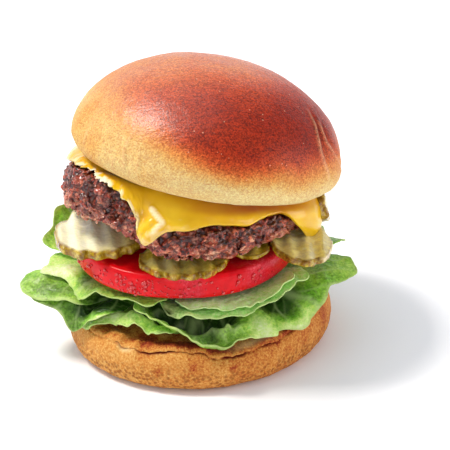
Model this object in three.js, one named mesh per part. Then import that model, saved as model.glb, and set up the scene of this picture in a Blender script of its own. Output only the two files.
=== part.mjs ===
// A cheeseburger: a brioche bun with a browned beef patty, a melted slice of cheese,
// crinkle-cut pickles, a thick tomato slice and ruffled leaf lettuce.
//
// Units are millimetres, +Z is up and -Y is the side that faces the guest. The origin is the
// middle of the flat foot of the bun's heel. Angles round the stack are azimuths in degrees:
// 0 is the right, -90 the front, 90 the back and 180 the left.
import * as THREE from 'three';
import { mergeVertices } from 'three/addons/utils/BufferGeometryUtils.js';

// ---------------------------------------------------------------- driving dimensions

const GAP = 0.35; // air kept between neighbouring layers

const HEEL = {
  radius: 50.6, widest: 7.2, foot: 44, edge: 48.8, crack: 47.2, faceEdge: 44.5, face: 17.4,
};

const CROWN = {
  centre: [4.2, -0.15, 69.3], radius: 51, height: 40.8, base: 40.6, widest: 7.8,
  tiltRight: 12.57, tiltBack: -6.27, shoulder: 1.83, round: 2.07,
};

const TOMATO = {
  centre: [-4.5, 0, 40.9], radius: 42.8, thick: 9.4, tiltFront: 1.5, tiltRight: 2.3, corner: 1.6,
};

const PATTY = {
  centre: [-4, 0], radius: 45.2, flat: 0.74, bulge: 0.8, crag: 1, under: 53.2, lowest: 47.2,
};

const CHEESE = {
  thick: 2.8, half: 40.2, corner: 3, turn: -18, shift: 3.4, towards: -78, lift: 1.75,
};

const LEAF = { thick: 0.9, inner: 6, bend: 35, handle: 0.42 };

const COLOURS = {
  crust: 0xa85632, heel: 0xc98a4a, tomato: 0xd3232a, pickle: 0x9a9636, patty: 0x5e3527,
  cheese: 0xf0b920, lettuce: 0x6ea53c,
};

// ---------------------------------------------------------------- small tools

const rad = THREE.MathUtils.degToRad;
const mix = THREE.MathUtils.lerp;
const ease = (t) => THREE.MathUtils.smoothstep(t, 0, 1);
const ripple = (degrees, count, phase) => Math.sin(rad(degrees) * count + phase);
const bell = (x, width) => Math.exp(-((x / width) ** 2));
const turnBetween = (a, b) => ((a - b + 540) % 360) - 180;

/** One column of a table of stations [azimuth, ...values], read smoothly at azimuth `at`. */
function stationValue(stations, at, column) {
  const last = stations.length - 1;
  let k = 0;
  while (k < last - 1 && at > stations[k + 1][0]) k += 1;
  const [before, here, next, after] = [k - 1, k, k + 1, k + 2]
    .map((i) => stations[Math.min(Math.max(i, 0), last)]);
  const span = next[0] - here[0];
  const slopeIn = (next[column] - before[column]) / (next[0] - before[0]);
  const slopeOut = (after[column] - here[column]) / (after[0] - here[0]);
  const t = THREE.MathUtils.clamp((at - here[0]) / span, 0, 1);
  const curve = (2 * t - 3) * t * t;
  return here[column] * (1 + curve) - next[column] * curve
    + span * (slopeIn * t * (1 - t) ** 2 - slopeOut * t * t * (1 - t));
}

/** The same for stations that close a full turn: azimuths from -180 up to, not with, 180. */
function roundValue(stations, azimuth, column = 1) {
  const wrap = (row, turn) => [row[0] + turn, ...row.slice(1)];
  const closed = [wrap(stations.at(-1), -360), ...stations, wrap(stations[0], 360),
    wrap(stations[1], 360)];
  return stationValue(closed, ((azimuth + 540) % 360) - 180, column);
}

/** A solid of revolution about +Z whose points are then moved by `shape(radius, azimuth, z)`. */
function turned(profile, segments, shape) {
  const lathe = new THREE.LatheGeometry(profile.map(([r, z]) => new THREE.Vector2(r, z)), segments);
  lathe.rotateX(Math.PI / 2);
  lathe.deleteAttribute('normal');
  lathe.deleteAttribute('uv');
  const merged = mergeVertices(lathe, 1e-4);
  const spot = merged.getAttribute('position');
  const at = new THREE.Vector3();
  for (let i = 0; i < spot.count; i += 1) {
    at.fromBufferAttribute(spot, i);
    const azimuth = THREE.MathUtils.radToDeg(Math.atan2(at.y, at.x));
    const [x, y, z] = shape(Math.hypot(at.x, at.y), azimuth, at.z);
    spot.setXYZ(i, x, y, z);
  }
  return merged;
}

/** A grid of points: `rows` + 1 rows, each with its points from the left edge to the right. */
function gridOf(rows, columns, closedRound, place) {
  return Array.from({ length: rows + 1 }, (_, r) => Array.from(
    { length: closedRound ? columns : columns + 1 },
    (__, c) => new THREE.Vector3(...place(c / columns, r / rows)),
  ));
}

/** A thin closed sheet about a grid of points, both its faces split into triangles alike. */
function sheet(grid, closedRound, thickness) {
  const rows = grid.length - 1;
  const across = grid[0].length;
  const columns = closedRound ? across : across - 1;
  const column = (c) => (closedRound ? (c + across) % across : Math.min(Math.max(c, 0), columns));
  const row = (r) => grid[Math.min(Math.max(r, 0), rows)];
  const corners = [];
  for (let r = 0; r <= rows; r += 1) {
    for (let c = 0; c < across; c += 1) {
      const rightward = row(r)[column(c + 1)].clone().sub(row(r)[column(c - 1)]);
      const outward = row(r + 1)[c].clone().sub(row(r - 1)[c]);
      const half = rightward.cross(outward).normalize().multiplyScalar(thickness(r / rows) / 2);
      corners.push(grid[r][c].clone().add(half), grid[r][c].clone().sub(half));
    }
  }
  const top = (r, c) => 2 * (r * across + (c % across));
  const under = (r, c) => top(r, c) + 1;
  const faces = [];
  const quad = (a, b, c, d) => faces.push(a, b, c, a, c, d);
  for (let r = 0; r < rows; r += 1) {
    for (let c = 0; c < columns; c += 1) {
      quad(top(r, c), top(r, c + 1), top(r + 1, c + 1), top(r + 1, c));
      faces.push(under(r, c), under(r + 1, c + 1), under(r, c + 1));
      faces.push(under(r, c), under(r + 1, c), under(r + 1, c + 1));
    }
  }
  for (let c = 0; c < columns; c += 1) {
    quad(top(0, c), under(0, c), under(0, c + 1), top(0, c + 1));
    quad(top(rows, c), top(rows, c + 1), under(rows, c + 1), under(rows, c));
  }
  for (let r = 0; r < rows && !closedRound; r += 1) {
    quad(top(r, 0), top(r + 1, 0), under(r + 1, 0), under(r, 0));
    quad(top(r, columns), under(r, columns), under(r + 1, columns), top(r + 1, columns));
  }
  const geometry = new THREE.BufferGeometry();
  geometry.setAttribute('position', new THREE.Float32BufferAttribute(
    corners.flatMap((corner) => corner.toArray()), 3));
  geometry.setIndex(faces);
  return geometry;
}

const burger = new THREE.Group();

function add(name, geometry, colour, roughness, parent = burger) {
  const material = new THREE.MeshStandardMaterial({ color: colour, roughness, metalness: 0 });
  const piece = new THREE.Mesh(geometry, material);
  piece.name = name;
  parent.add(piece);
  return piece;
}

// ---------------------------------------------------------------- bottom bun

// Height of the crust's upper edge round the heel.
const HEEL_EDGE = [[-150, 15.4], [-132, 15.6], [-90, 13.8], [-36, 15.8], [30, 15], [120, 14.6]];

/** The heel of the bun: flat foot, round side, a crack under the crust's edge, toasted face. */
function bottomBun() {
  const profile = [[0, 0], [HEEL.foot * 0.6, 0], [HEEL.foot, 0]];
  for (const lift of [25, 50, 75]) {
    profile.push([
      HEEL.foot + (HEEL.radius - HEEL.foot) * Math.sin(rad(lift)),
      HEEL.widest * (1 - Math.cos(rad(lift))),
    ]);
  }
  profile.push([HEEL.radius, HEEL.widest + 1.6], [HEEL.radius - 0.6, 12], [HEEL.edge, 14.6],
    [HEEL.crack, 14], [HEEL.faceEdge, 16.2], [36, HEEL.face], [18, HEEL.face], [0, HEEL.face]);
  return turned(profile, 48, (r, azimuth, z) => {
    const swell = 1 + 0.006 * ripple(azimuth, 2, 0.4) + 0.004 * ripple(azimuth, 5, 1.9);
    const lift = (roundValue(HEEL_EDGE, azimuth) - 14.6) * ease((z - 7) / 7) * ease((r - 30) / 16);
    return [r * swell * Math.cos(rad(azimuth)), r * swell * Math.sin(rad(azimuth)), z + lift];
  });
}

// ---------------------------------------------------------------- top bun

/** The crown: a glazed dome, fullest low down, on a flat cut face. It leans on its own group. */
function topBun() {
  const profile = [[0, 0], [CROWN.base * 0.55, 0], [CROWN.base, 0]];
  for (const lift of [30, 60, 90]) {
    profile.push([
      CROWN.base + (CROWN.radius - CROWN.base) * Math.sin(rad(lift)),
      CROWN.widest * (1 - Math.cos(rad(lift))),
    ]);
  }
  for (const t of [0.14, 0.28, 0.42, 0.56, 0.68, 0.79, 0.88, 0.95, 0.99]) {
    profile.push([
      CROWN.radius * (1 - t ** CROWN.shoulder) ** (1 / CROWN.round),
      CROWN.widest + (CROWN.height - CROWN.widest) * t,
    ]);
  }
  profile.push([0, CROWN.height]);
  const geometry = turned(profile, 50, (r, azimuth, z) => {
    const low = ease((z - 1) / 6) * (1 - ease((z - 14) / 14));
    const crease = 1.1 * bell(turnBetween(azimuth, -4), 7) + 0.8 * bell(turnBetween(azimuth, 20), 6)
      + 1.2 * bell(turnBetween(azimuth, -158), 6);
    const swell = r * (1 + 0.005 * ripple(azimuth, 3, 1.1)) - crease * low;
    return [swell * Math.cos(rad(azimuth)), swell * Math.sin(rad(azimuth)), z];
  });
  const lean = new THREE.Group();
  lean.position.set(...CROWN.centre);
  lean.rotation.set(rad(CROWN.tiltBack), rad(CROWN.tiltRight), 0, 'YXZ');
  burger.add(lean);
  add('top_bun', geometry, COLOURS.crust, 0.35, lean);
}

/** Height of the crown's cut face over a point of the stack. */
function crownFace(x, y) {
  const axis = new THREE.Vector3(0, 0, 1).applyEuler(
    new THREE.Euler(rad(CROWN.tiltBack), rad(CROWN.tiltRight), 0, 'YXZ'));
  const [cx, cy, cz] = CROWN.centre;
  return cz - (axis.x * (x - cx) + axis.y * (y - cy)) / axis.z;
}

// ---------------------------------------------------------------- patty and cheese

// Heights of the patty's rim: [azimuth, top, bottom]. Its left front curls up in one thick lobe.
const RIM = [
  [-180, 71.5, 55.5], [-150, 78.5, 59.5], [-132, 80.2, 61], [-119, 76.5, 58.4], [-110, 69, 54.8],
  [-98, 64.6, 52], [-87, 63.4, 50.8], [-61, 62, 49.2], [-36, 60.4, 48.6], [0, 57.6, 48],
  [45, 56.5, 47.4], [90, 61, 47.4], [135, 68.5, 51],
];

const pattyRadius = (azimuth) => PATTY.radius + 0.9 * ripple(azimuth, 3, 0.6)
  + 0.7 * ripple(azimuth, 5, 2.1) - 2.4 * bell(turnBetween(azimuth, -110), 7)
  - 1.2 * bell(turnBetween(azimuth, -45), 8) + 2.6 * bell(turnBetween(azimuth, -8), 20);

/** Crags of the seared side, in millimetres, deepest half way up. */
const crags = (azimuth, height) => PATTY.crag * Math.sin(Math.PI * height)
  * (ripple(azimuth, 23, 5 * height) + ripple(azimuth, 14, 1 - 9 * height)) * 0.5;

/** Point of the patty's skin: `reach` is 0 on the axis and 1 at the rim, `height` 0 to 1. */
function pattyPoint(reach, azimuth, height) {
  const r = reach * pattyRadius(azimuth);
  const x = PATTY.centre[0] + r * Math.cos(rad(azimuth));
  const y = PATTY.centre[1] + r * Math.sin(rad(azimuth));
  const [upper, lower] = [ease((reach - 0.78) * 4.5), ease((reach - 0.5) * 2.2)];
  const under = Math.max(PATTY.under - 0.13 * x - 0.08 * (y + 20), PATTY.lowest);
  const top = mix(crownFace(x, y) - CHEESE.thick - CHEESE.lift - GAP, roundValue(RIM, azimuth, 1), upper);
  const bottom = mix(under, roundValue(RIM, azimuth, 2), lower);
  return [x, y, mix(bottom, top, height)];
}

/** Outline of the patty's section at an angle from -90 (under) to 90 (over) round its side. */
function pattySection(angle) {
  const out = Math.cos(rad(angle)) ** PATTY.bulge;
  const up = Math.sign(angle) * Math.abs(Math.sin(rad(angle))) ** PATTY.bulge;
  return [PATTY.flat + (1 - PATTY.flat) * out, 0.5 + 0.5 * up];
}

function patty() {
  const profile = [[0, 0], [0.4, 0]];
  for (let angle = -90; angle <= 90; angle += 22.5) profile.push(pattySection(angle));
  profile.push([0.4, 1], [0, 1]);
  return turned(profile, 60, (reach, azimuth, height) => {
    const craggy = ease((reach - PATTY.flat) * 5) * (crags(azimuth, height) - PATTY.crag);
    return pattyPoint(reach + craggy / PATTY.radius, azimuth, height);
  });
}

/** The point of the patty's skin at a distance from its middle, over the rim and down the side. */
function drape(azimuth, distance) {
  const stations = [[0, 1], [0.35, 1], [0.6, 1]];
  for (let angle = 90; angle >= -30; angle -= 10) stations.push(pattySection(angle));
  const path = stations.map(([reach, height]) => new THREE.Vector3(
    ...pattyPoint(reach, azimuth, height)));
  let left = distance;
  let k = 1;
  while (k < path.length - 1 && left > path[k].distanceTo(path[k - 1])) {
    left -= path[k].distanceTo(path[k - 1]);
    k += 1;
  }
  return path[k - 1].clone().lerp(path[k], left / path[k].distanceTo(path[k - 1]));
}

// Drips of melted cheese over the patty's side: [azimuth, length, half width in degrees].
const DRIPS = [[-106, 9.5, 7], [-14, 8.5, 12], [70, 7, 11], [158, 3, 9]];

/** Distance from the patty's middle to the slice's edge: a soft square that drips in places. */
function cheeseEdge(azimuth) {
  const angle = rad(azimuth - CHEESE.turn - 45);
  const n = CHEESE.corner;
  const square = (Math.abs(Math.cos(angle)) ** n + Math.abs(Math.sin(angle)) ** n) ** (-1 / n);
  return DRIPS.reduce((edge, [at, length, width]) => edge + length * bell(turnBetween(azimuth, at), width),
    CHEESE.half * square + CHEESE.shift * Math.cos(rad(azimuth - CHEESE.towards)));
}

/** One ring of points with each point drawn towards its neighbours. */
const easedRing = (ring) => ring.map((spot, c) => spot.clone().multiplyScalar(3)
  .add(ring[(c + 1) % ring.length]).add(ring.at(c - 1)).divideScalar(5));

/** The melted slice: laid over the patty, then eased so that it spans the dips. */
function cheese() {
  const grid = gridOf(8, 60, true, (u, v) => {
    const azimuth = u * 360;
    return drape(azimuth, mix(2, cheeseEdge(azimuth), v ** 0.75)).toArray();
  });
  const lifted = grid.map((ring, r) => ring.map((spot, c) => {
    const round = ring[(c + 1) % ring.length].clone().sub(ring.at(c - 1));
    const [inner, outer] = [grid[Math.max(r - 1, 0)][c], grid[Math.min(r + 1, grid.length - 1)][c]];
    const normal = outer.clone().sub(inner).cross(round).normalize();
    return spot.clone().addScaledVector(normal, CHEESE.thick / 2 + CHEESE.lift);
  }));
  return sheet(lifted.map(easedRing), true, (v) => CHEESE.thick * (1 - 0.4 * v ** 6));
}

// ---------------------------------------------------------------- tomato

function tomato() {
  const { thick, radius, corner } = TOMATO;
  const half = thick / 2;
  const profile = [[0, -half], [radius * 0.5, -half], [radius - corner, -half],
    [radius - 0.3, 1 - half], [radius, 0], [radius - 0.5, half - 1.2], [radius - corner - 0.6, half],
    [radius * 0.5, half], [0, half]];
  return turned(profile, 40, (r, azimuth, z) => {
    const swell = r * (1 + 0.008 * ripple(azimuth, 5, 0.3) + 0.006 * ripple(azimuth, 3, 2));
    return [swell * Math.cos(rad(azimuth)), swell * Math.sin(rad(azimuth)), z];
  });
}

// ---------------------------------------------------------------- pickles

// Crinkle-cut slices: `tip` lowers the slice's right and front edges in degrees, `cut` is the
// direction across its ridges.
const PICKLES = [
  { name: 'pickle_left', at: [-33, -13, 50.2], radius: [19, 19.5], thick: 3.6, tip: [-3, 3], cut: 8 },
  { name: 'pickle_front', at: [-2.6, -31.6, 47.2], radius: [15.4, 15], thick: 2.6, tip: [1, 2], cut: 4 },
  { name: 'pickle_middle', at: [19.6, -23, 45.9], radius: [7.6, 9], thick: 1.6, tip: [2, 1], cut: 0 },
  { name: 'pickle_right', at: [39, -20, 44.8], radius: [11.8, 15.4], thick: 2.7, tip: [8, 2], cut: 0 },
  { name: 'pickle_upper', at: [47.8, -3, 52.6], radius: [6, 7.5], thick: 2.6, tip: [80, 0], cut: 0 },
];
const RIDGE = { pitch: 6.2, height: 0.6 };

/** One slice as a grid of chords across its ridges, both faces waved alike. */
function pickle({ radius, thick, cut }) {
  const columns = Math.round(radius[0] * 0.5) + 9;
  const grid = gridOf(4, columns, false, (u, v) => {
    const turn = Math.PI * (u - 0.5) * 0.9;
    const across = radius[0] * Math.sin(turn);
    const chord = radius[1] * Math.cos(turn) * (1 + 0.06 * Math.sin(3 * turn + cut));
    const along = chord * (2 * v - 1);
    const [c, s] = [Math.cos(rad(cut)), Math.sin(rad(cut))];
    return [across * c - along * s, across * s + along * c,
      RIDGE.height * Math.sin((2 * Math.PI * across) / RIDGE.pitch)];
  });
  return sheet(grid, false, () => thick);
}

// ---------------------------------------------------------------- lettuce

// Each leaf spreads from the middle of the stack over a range of azimuths. Its stations are
// [azimuth, height where it leaves the stack, reach and height of its margin, lean of the margin],
// the lean in degrees from level, below zero where it hangs and above where it turns up.
// `ruffle` is [height, depth, waves in a full turn], `slant` swings the two side edges in degrees.
const LEAVES = [
  {
    name: 'lettuce_front_left', level: 19, columns: 17, slant: [0, 0], ruffle: [1.2, 0.9, 17],
    stations: [[-164, 22, 49.5, 18.6, -30], [-148, 24, 50.5, 17.2, -55], [-137, 27, 47, 21.5, -30],
      [-122, 25, 46, 22.8, -15], [-108, 22.6, 46, 21.8, -12], [-97, 21, 45, 20, -15]],
  },
  {
    name: 'lettuce_front', level: 23.2, columns: 26, slant: [0, 12], ruffle: [0.5, 0.7, 26],
    stations: [[-127, 29.6, 44, 31.6, 8], [-113, 27.6, 45.5, 29.4, 15], [-102, 26, 46.8, 26.6, 20],
      [-94, 25, 48.5, 22.6, 28], [-86, 25.6, 51, 19.4, 35], [-76, 27, 50.8, 20.3, 25],
      [-67, 28, 50, 20.4, -25], [-59, 28, 50.3, 18.2, -65], [-50, 27.6, 51.4, 15, -75]],
  },
  {
    name: 'lettuce_right', level: 20.4, columns: 18, slant: [0, 0], ruffle: [0.6, 0.7, 20],
    stations: [[-62, 22, 44.5, 19.6, -15], [-50, 23, 48, 18.4, -40], [-41, 24, 50.6, 17.4, -55],
      [-33, 26, 51.4, 21, -45], [-24, 28, 54, 24.8, -30], [-12, 29.6, 60.5, 28.6, -15],
      [1, 30, 58, 31, 5]],
  },
  {
    name: 'lettuce_middle', level: 27.4, columns: 14, slant: [0, 0], ruffle: [0.4, 0.3, 21],
    stations: [[-110, 31, 44.5, 32.4, 0], [-94, 30.2, 46.5, 30.2, -10], [-79, 29.6, 46.5, 29.2, -15],
      [-64, 29.6, 46.5, 29, -12], [-50, 30.4, 46.8, 31, -5], [-36, 31, 47.4, 33.6, 10],
      [-24, 31.2, 48, 35.4, 20]],
  },
  {
    name: 'lettuce_inner', level: 30.4, columns: 13, slant: [0, 0], ruffle: [0.3, 0.2, 19],
    stations: [[-102, 32, 43.6, 33.2, 0], [-88, 32, 45, 33.2, -8], [-73, 31.4, 46, 31, -20],
      [-60, 31.4, 46, 31.4, -12], [-47, 31.6, 46.4, 33.8, 5], [-32, 31.6, 47.2, 37, 28]],
  },
  {
    name: 'lettuce_top_left', level: 33, columns: 18, slant: [0, 0], ruffle: [0.6, 0.7, 24],
    stations: [[-190, 32.6, 50, 33.4, 5], [-180, 32.6, 55.5, 33, 0], [-171, 32.6, 57.5, 31.4, -15],
      [-161, 32.8, 51, 31, -30], [-151, 32.8, 50, 29.6, -45], [-140, 33.2, 48.2, 33, -15],
      [-122, 33.2, 46, 34.2, 0], [-106, 33.2, 44.6, 33.8, 0]],
  },
  {
    name: 'lettuce_left_upper', level: 29.2, columns: 13, slant: [0, 0], ruffle: [0.5, 0.8, 21],
    stations: [[-192, 29.6, 52, 31.4, 0], [-182, 29.6, 60, 29.6, -8], [-169, 29.4, 67.5, 28.2, -12],
      [-160, 28.6, 60, 26.8, -25], [-143, 28.4, 47, 27.4, 0]],
  },
  {
    name: 'lettuce_left_lower', level: 25.4, columns: 16, slant: [0, 0], ruffle: [0.4, 0.6, 23],
    stations: [[-182, 25.8, 57, 25.8, 0], [-170, 25.8, 65.5, 25, 5], [-162, 25.6, 60, 23.6, -20],
      [-156, 26.2, 57, 21, -55], [-150, 26.2, 54.8, 15.8, -80], [-143, 26.2, 51.5, 21.4, -60],
      [-132, 26.2, 46.5, 25, -15]],
  },
  {
    name: 'lettuce_back_left', level: 34.2, columns: 20, slant: [0, 0], ruffle: [0.8, 0.8, 17],
    stations: [[98, 34.4, 49, 33.6, -5], [114, 34.6, 52, 34.6, 10], [132, 34.6, 55, 38, 40],
      [148, 34.6, 57.6, 43, 62], [159, 34.6, 57.6, 46, 68], [168, 34.6, 58.2, 43, 62],
      [175, 34.6, 60, 38.6, 25], [182, 34.8, 56, 36, 5]],
  },
  {
    name: 'lettuce_back_right', level: 28, columns: 18, slant: [0, 0], ruffle: [1, 1, 17],
    stations: [[3, 31, 57, 31.6, 5], [12, 30.6, 59, 29.4, -15], [26, 30.4, 57, 27.6, -25],
      [44, 30, 55, 29, -5], [66, 29.6, 53, 30, 0], [92, 29.2, 49, 31, 0]],
  },
  {
    name: 'lettuce_back', level: 22.6, columns: 22, slant: [0, 0], ruffle: [1.4, 1.2, 13],
    stations: [[3, 23, 50, 20.5, -20], [20, 24, 52, 18.6, -50], [48, 25, 51, 21.5, -25],
      [80, 25, 53, 18.8, -50], [112, 25, 51, 21.5, -25], [146, 25, 54, 19.4, -45],
      [176, 24, 52, 22, -20]],
  },
];

/** A point of a leaf's middle surface: `t` is 0 at the heart of the stack and 1 at the margin. */
function leafPoint({ level, ruffle, stations }, azimuth, t) {
  const [crest, reach, height, lean] = [1, 2, 3, 4].map((k) => stationValue(stations, azimuth, k));
  const handle = (reach - LEAF.bend) * LEAF.handle + 3;
  const points = [[LEAF.inner, level], [LEAF.bend, crest],
    [reach - handle * Math.cos(rad(lean)), height - handle * Math.sin(rad(lean))], [reach, height]];
  const weights = [(1 - t) ** 3, 3 * t * (1 - t) ** 2, 3 * t * t * (1 - t), t ** 3];
  const curve = (k) => points.reduce((sum, point, i) => sum + point[k] * weights[i], 0);
  const [up, out, waves] = ruffle;
  const r = curve(0) + out * t ** 4 * ripple(azimuth, waves * 1.31, level);
  const z = curve(1) + up * t ** 4 * ripple(azimuth, waves, 2 * level);
  return [r * Math.cos(rad(azimuth)), r * Math.sin(rad(azimuth)), z];
}

function lettuce(leaf) {
  const [first, last] = [leaf.stations[0][0], leaf.stations.at(-1)[0]];
  const grid = gridOf(5, leaf.columns, false, (u, v) => {
    const t = 1 - (1 - v) ** 1.25;
    const azimuth = mix(first + leaf.slant[0] * (1 - t), last - leaf.slant[1] * (1 - t), u);
    return leafPoint(leaf, azimuth, t);
  });
  return sheet(grid, false, () => LEAF.thick);
}

// ---------------------------------------------------------------- the stack, bottom to top

add('bottom_bun', bottomBun(), COLOURS.heel, 0.7);
LEAVES.forEach((leaf) => add(leaf.name, lettuce(leaf), COLOURS.lettuce, 0.45));

const slice = add('tomato', tomato(), COLOURS.tomato, 0.2);
slice.position.set(...TOMATO.centre);
slice.rotation.set(rad(TOMATO.tiltFront), rad(TOMATO.tiltRight), 0);

PICKLES.forEach((spec) => {
  const piece = add(spec.name, pickle(spec), COLOURS.pickle, 0.25);
  piece.position.set(...spec.at);
  piece.rotation.set(rad(spec.tip[1]), rad(spec.tip[0]), 0);
});

add('patty', patty(), COLOURS.patty, 0.6);
add('cheese', cheese(), COLOURS.cheese, 0.25);
topBun();

export default burger;
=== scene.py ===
import math

import bpy
import numpy as np
from mathutils import Matrix, Vector


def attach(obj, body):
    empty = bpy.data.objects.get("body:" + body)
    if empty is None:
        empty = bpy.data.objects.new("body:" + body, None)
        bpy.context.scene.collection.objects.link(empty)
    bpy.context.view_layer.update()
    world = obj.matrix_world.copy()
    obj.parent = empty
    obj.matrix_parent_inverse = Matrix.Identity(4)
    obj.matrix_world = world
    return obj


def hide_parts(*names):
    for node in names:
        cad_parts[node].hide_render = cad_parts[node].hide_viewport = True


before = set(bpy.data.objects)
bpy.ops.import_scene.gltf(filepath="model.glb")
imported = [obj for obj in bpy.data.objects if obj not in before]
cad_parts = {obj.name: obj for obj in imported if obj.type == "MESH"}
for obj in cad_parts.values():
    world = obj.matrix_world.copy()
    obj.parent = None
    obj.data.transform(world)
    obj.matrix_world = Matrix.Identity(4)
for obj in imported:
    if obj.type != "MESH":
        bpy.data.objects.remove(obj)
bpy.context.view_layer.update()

# A cheeseburger, dressed layer by layer from its heel to its crown. Sizes are in millimetres and
# turned to metres as a mesh is written. Azimuths are in degrees: 0 right, -90 front, 180 left.

# ------------------------------------------------------------------ the heel
# The bottom half of a brioche bun: soft crumb in a thin golden crust, baked on a tray, cut across
# and toasted on the cut. The crust has torn open along the cut's edge. It is one turned body.

MM = 0.001


def blank(name, add_primitive, **sizes):
    """A primitive to start a piece from, the only thing selected."""
    bpy.ops.object.select_all(action="DESELECT")
    add_primitive(**sizes)
    piece = bpy.context.object
    piece.name = piece.data.name = name
    return piece


def spun(name, outline, steps):
    """A body of revolution: the outline (radius, height) is extruded point by point, then spun."""
    piece = blank(name, bpy.ops.mesh.primitive_plane_add, size=MM)
    bpy.ops.object.mode_set(mode="EDIT")
    bpy.ops.mesh.merge(type="CENTER")
    bpy.ops.transform.translate(value=(outline[0][0] * MM, 0, outline[0][1] * MM))
    for (r0, z0), (r1, z1) in zip(outline, outline[1:]):
        step = ((r1 - r0) * MM, 0, (z1 - z0) * MM)
        bpy.ops.mesh.extrude_region_move(TRANSFORM_OT_translate={"value": step})
    bpy.ops.mesh.select_all(action="SELECT")
    bpy.ops.mesh.spin(steps=steps, angle=2 * math.pi, center=(0, 0, 0), axis=(0, 0, 1))
    bpy.ops.mesh.select_all(action="SELECT")
    bpy.ops.mesh.remove_doubles(threshold=0.001 * MM)
    bpy.ops.mesh.normals_make_consistent(inside=False)
    bpy.ops.object.mode_set(mode="OBJECT")
    return piece


def run_along(outline):
    """How far along an outline each of its points lies."""
    return np.concatenate([[0], np.cumsum(np.hypot(*np.diff(outline, axis=0).T))])


def evenly(outline, count):
    """The same outline with its points spread evenly along it."""
    outline = np.array(outline, float)
    run = run_along(outline)
    at = np.linspace(0, run[-1], count)
    return np.column_stack([np.interp(at, run, outline[:, 0]), np.interp(at, run, outline[:, 1])])


def points_of(piece):
    """Its vertices in millimetres."""
    flat = np.empty(3 * len(piece.data.vertices))
    piece.data.vertices.foreach_get("co", flat)
    return flat.reshape(-1, 3) / MM


def put_points(piece, points):
    piece.data.vertices.foreach_set("co", (np.asarray(points) * MM).ravel())
    piece.data.update()


def raise_skin(piece, amount):
    """Moves each vertex along its normal by its own amount in millimetres."""
    normals = np.empty(3 * len(piece.data.vertices))
    piece.data.vertices.foreach_get("normal", normals)
    put_points(piece, points_of(piece) + normals.reshape(-1, 3) * np.reshape(amount, (-1, 1)))


def paint(piece, **values):
    """Writes values at the vertices, from 0 to 1, for the materials to read."""
    for name, value in values.items():
        layer = piece.data.attributes.new(name, "FLOAT", "POINT")
        layer.data.foreach_set("value", np.clip(value, 0, 1).astype(np.float32))


def ease(t):
    """A smooth step from 0 at 0 to 1 at 1."""
    t = np.clip(t, 0, 1)
    return t * t * (3 - 2 * t)


def bell(x, width):
    """1 at 0, fading over `width` to both sides."""
    return np.exp(-((x / width) ** 2))


def turn_between(a, b):
    """Degrees from azimuth b to azimuth a, the short way round."""
    return (a - b + 540) % 360 - 180


def facing(azimuth, at, width):
    """1 at one azimuth, fading over `width` degrees to both sides."""
    return bell(turn_between(azimuth, at), width)


def polar(spots):
    """Radius and azimuth of points about the upright axis."""
    return np.hypot(spots[:, 0], spots[:, 1]), np.degrees(np.arctan2(spots[:, 1], spots[:, 0]))


def placed(r, azimuth, z):
    """Points by their radius, azimuth and height."""
    turn = np.radians(azimuth)
    return np.column_stack([r * np.cos(turn), r * np.sin(turn), z + 0 * turn])


def station_values(stations, at):
    """Every column of a table of stations [azimuth, ...values], read smoothly at azimuths `at`."""
    table = np.array(stations, float)
    last = len(table) - 1
    k = np.searchsorted(table[1:last, 0], at)
    before, here, after, beyond = (table[np.clip(k + i, 0, last)] for i in (-1, 0, 1, 2))
    span = after[:, :1] - here[:, :1]
    slope_in = (after - before) / (after[:, :1] - before[:, :1])
    slope_out = (beyond - here) / (beyond[:, :1] - here[:, :1])
    t = np.clip((np.reshape(at, (-1, 1)) - here[:, :1]) / span, 0, 1)
    curve = (2 * t - 3) * t * t
    bend = slope_in * t * (1 - t) ** 2 - slope_out * t * t * (1 - t)
    return (here * (1 + curve) - after * curve + span * bend)[:, 1:].T


def round_values(stations, azimuth):
    """The same for stations that close a full turn."""
    wrapped = [[stations[-1][0] - 360, *stations[-1][1:]], *stations,
               *([row[0] + 360, *row[1:]] for row in stations[:2])]
    return station_values(wrapped, (np.asarray(azimuth) + 540) % 360 - 180)


def hashed(cells, seed):
    """A repeatable number from 0 to 1 for each whole-number cell of space."""
    with np.errstate(over="ignore"):
        x, y, z = (cells[..., i].astype(np.int64).astype(np.uint32) for i in range(3))
        n = (x * np.uint32(374761393) + y * np.uint32(668265263) + z * np.uint32(2246822519)
             + np.uint32(seed * 3266489917 % 2**32))
        n = (n ^ (n >> np.uint32(13))) * np.uint32(1274126177)
        n = (n ^ (n >> np.uint32(15))) * np.uint32(2654435761)
    return (n >> np.uint32(8)) / 2.0**24


def noise(points, size, seed=0):
    """Smooth noise from -1 to 1 with lumps of that size in millimetres."""
    spot = points / size
    cell = np.floor(spot)
    f = spot - cell
    f = f * f * f * (f * (6 * f - 15) + 10)
    total = 0
    for corner in np.ndindex(2, 2, 2):
        weight = np.prod(np.where(corner, f, 1 - f), axis=1)
        total = total + weight * hashed(cell + corner, seed)
    return 2 * total - 1


def rough(points, size, seed=0, octaves=3):
    """Noise with finer noise on it."""
    return sum(noise(points, size / 2**k, seed + k) / 2**k for k in range(octaves))


def grains(points, size, seed=0):
    """Distance to the nearest and to the second nearest of grains scattered about `size` apart."""
    spot = points / size
    cell = np.floor(spot)
    near = np.full((2, len(spot)), 9.0)
    for step in np.ndindex(3, 3, 3):
        there = cell + np.array(step) - 1
        centre = there + np.column_stack([hashed(there, seed + 7 * i) for i in range(3)])
        d = np.linalg.norm(centre - spot, axis=1)
        near[1] = np.minimum(near[1], np.maximum(near[0], d))
        near[0] = np.minimum(near[0], d)
    return near


def linear(hex_colour):
    """An sRGB hex colour as the linear values that shaders take."""
    parts = [int(hex_colour[i:i + 2], 16) / 255 for i in (1, 3, 5)]
    return [c / 12.92 if c <= 0.04045 else ((c + 0.055) / 1.055) ** 2.4 for c in parts] + [1.0]


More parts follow.
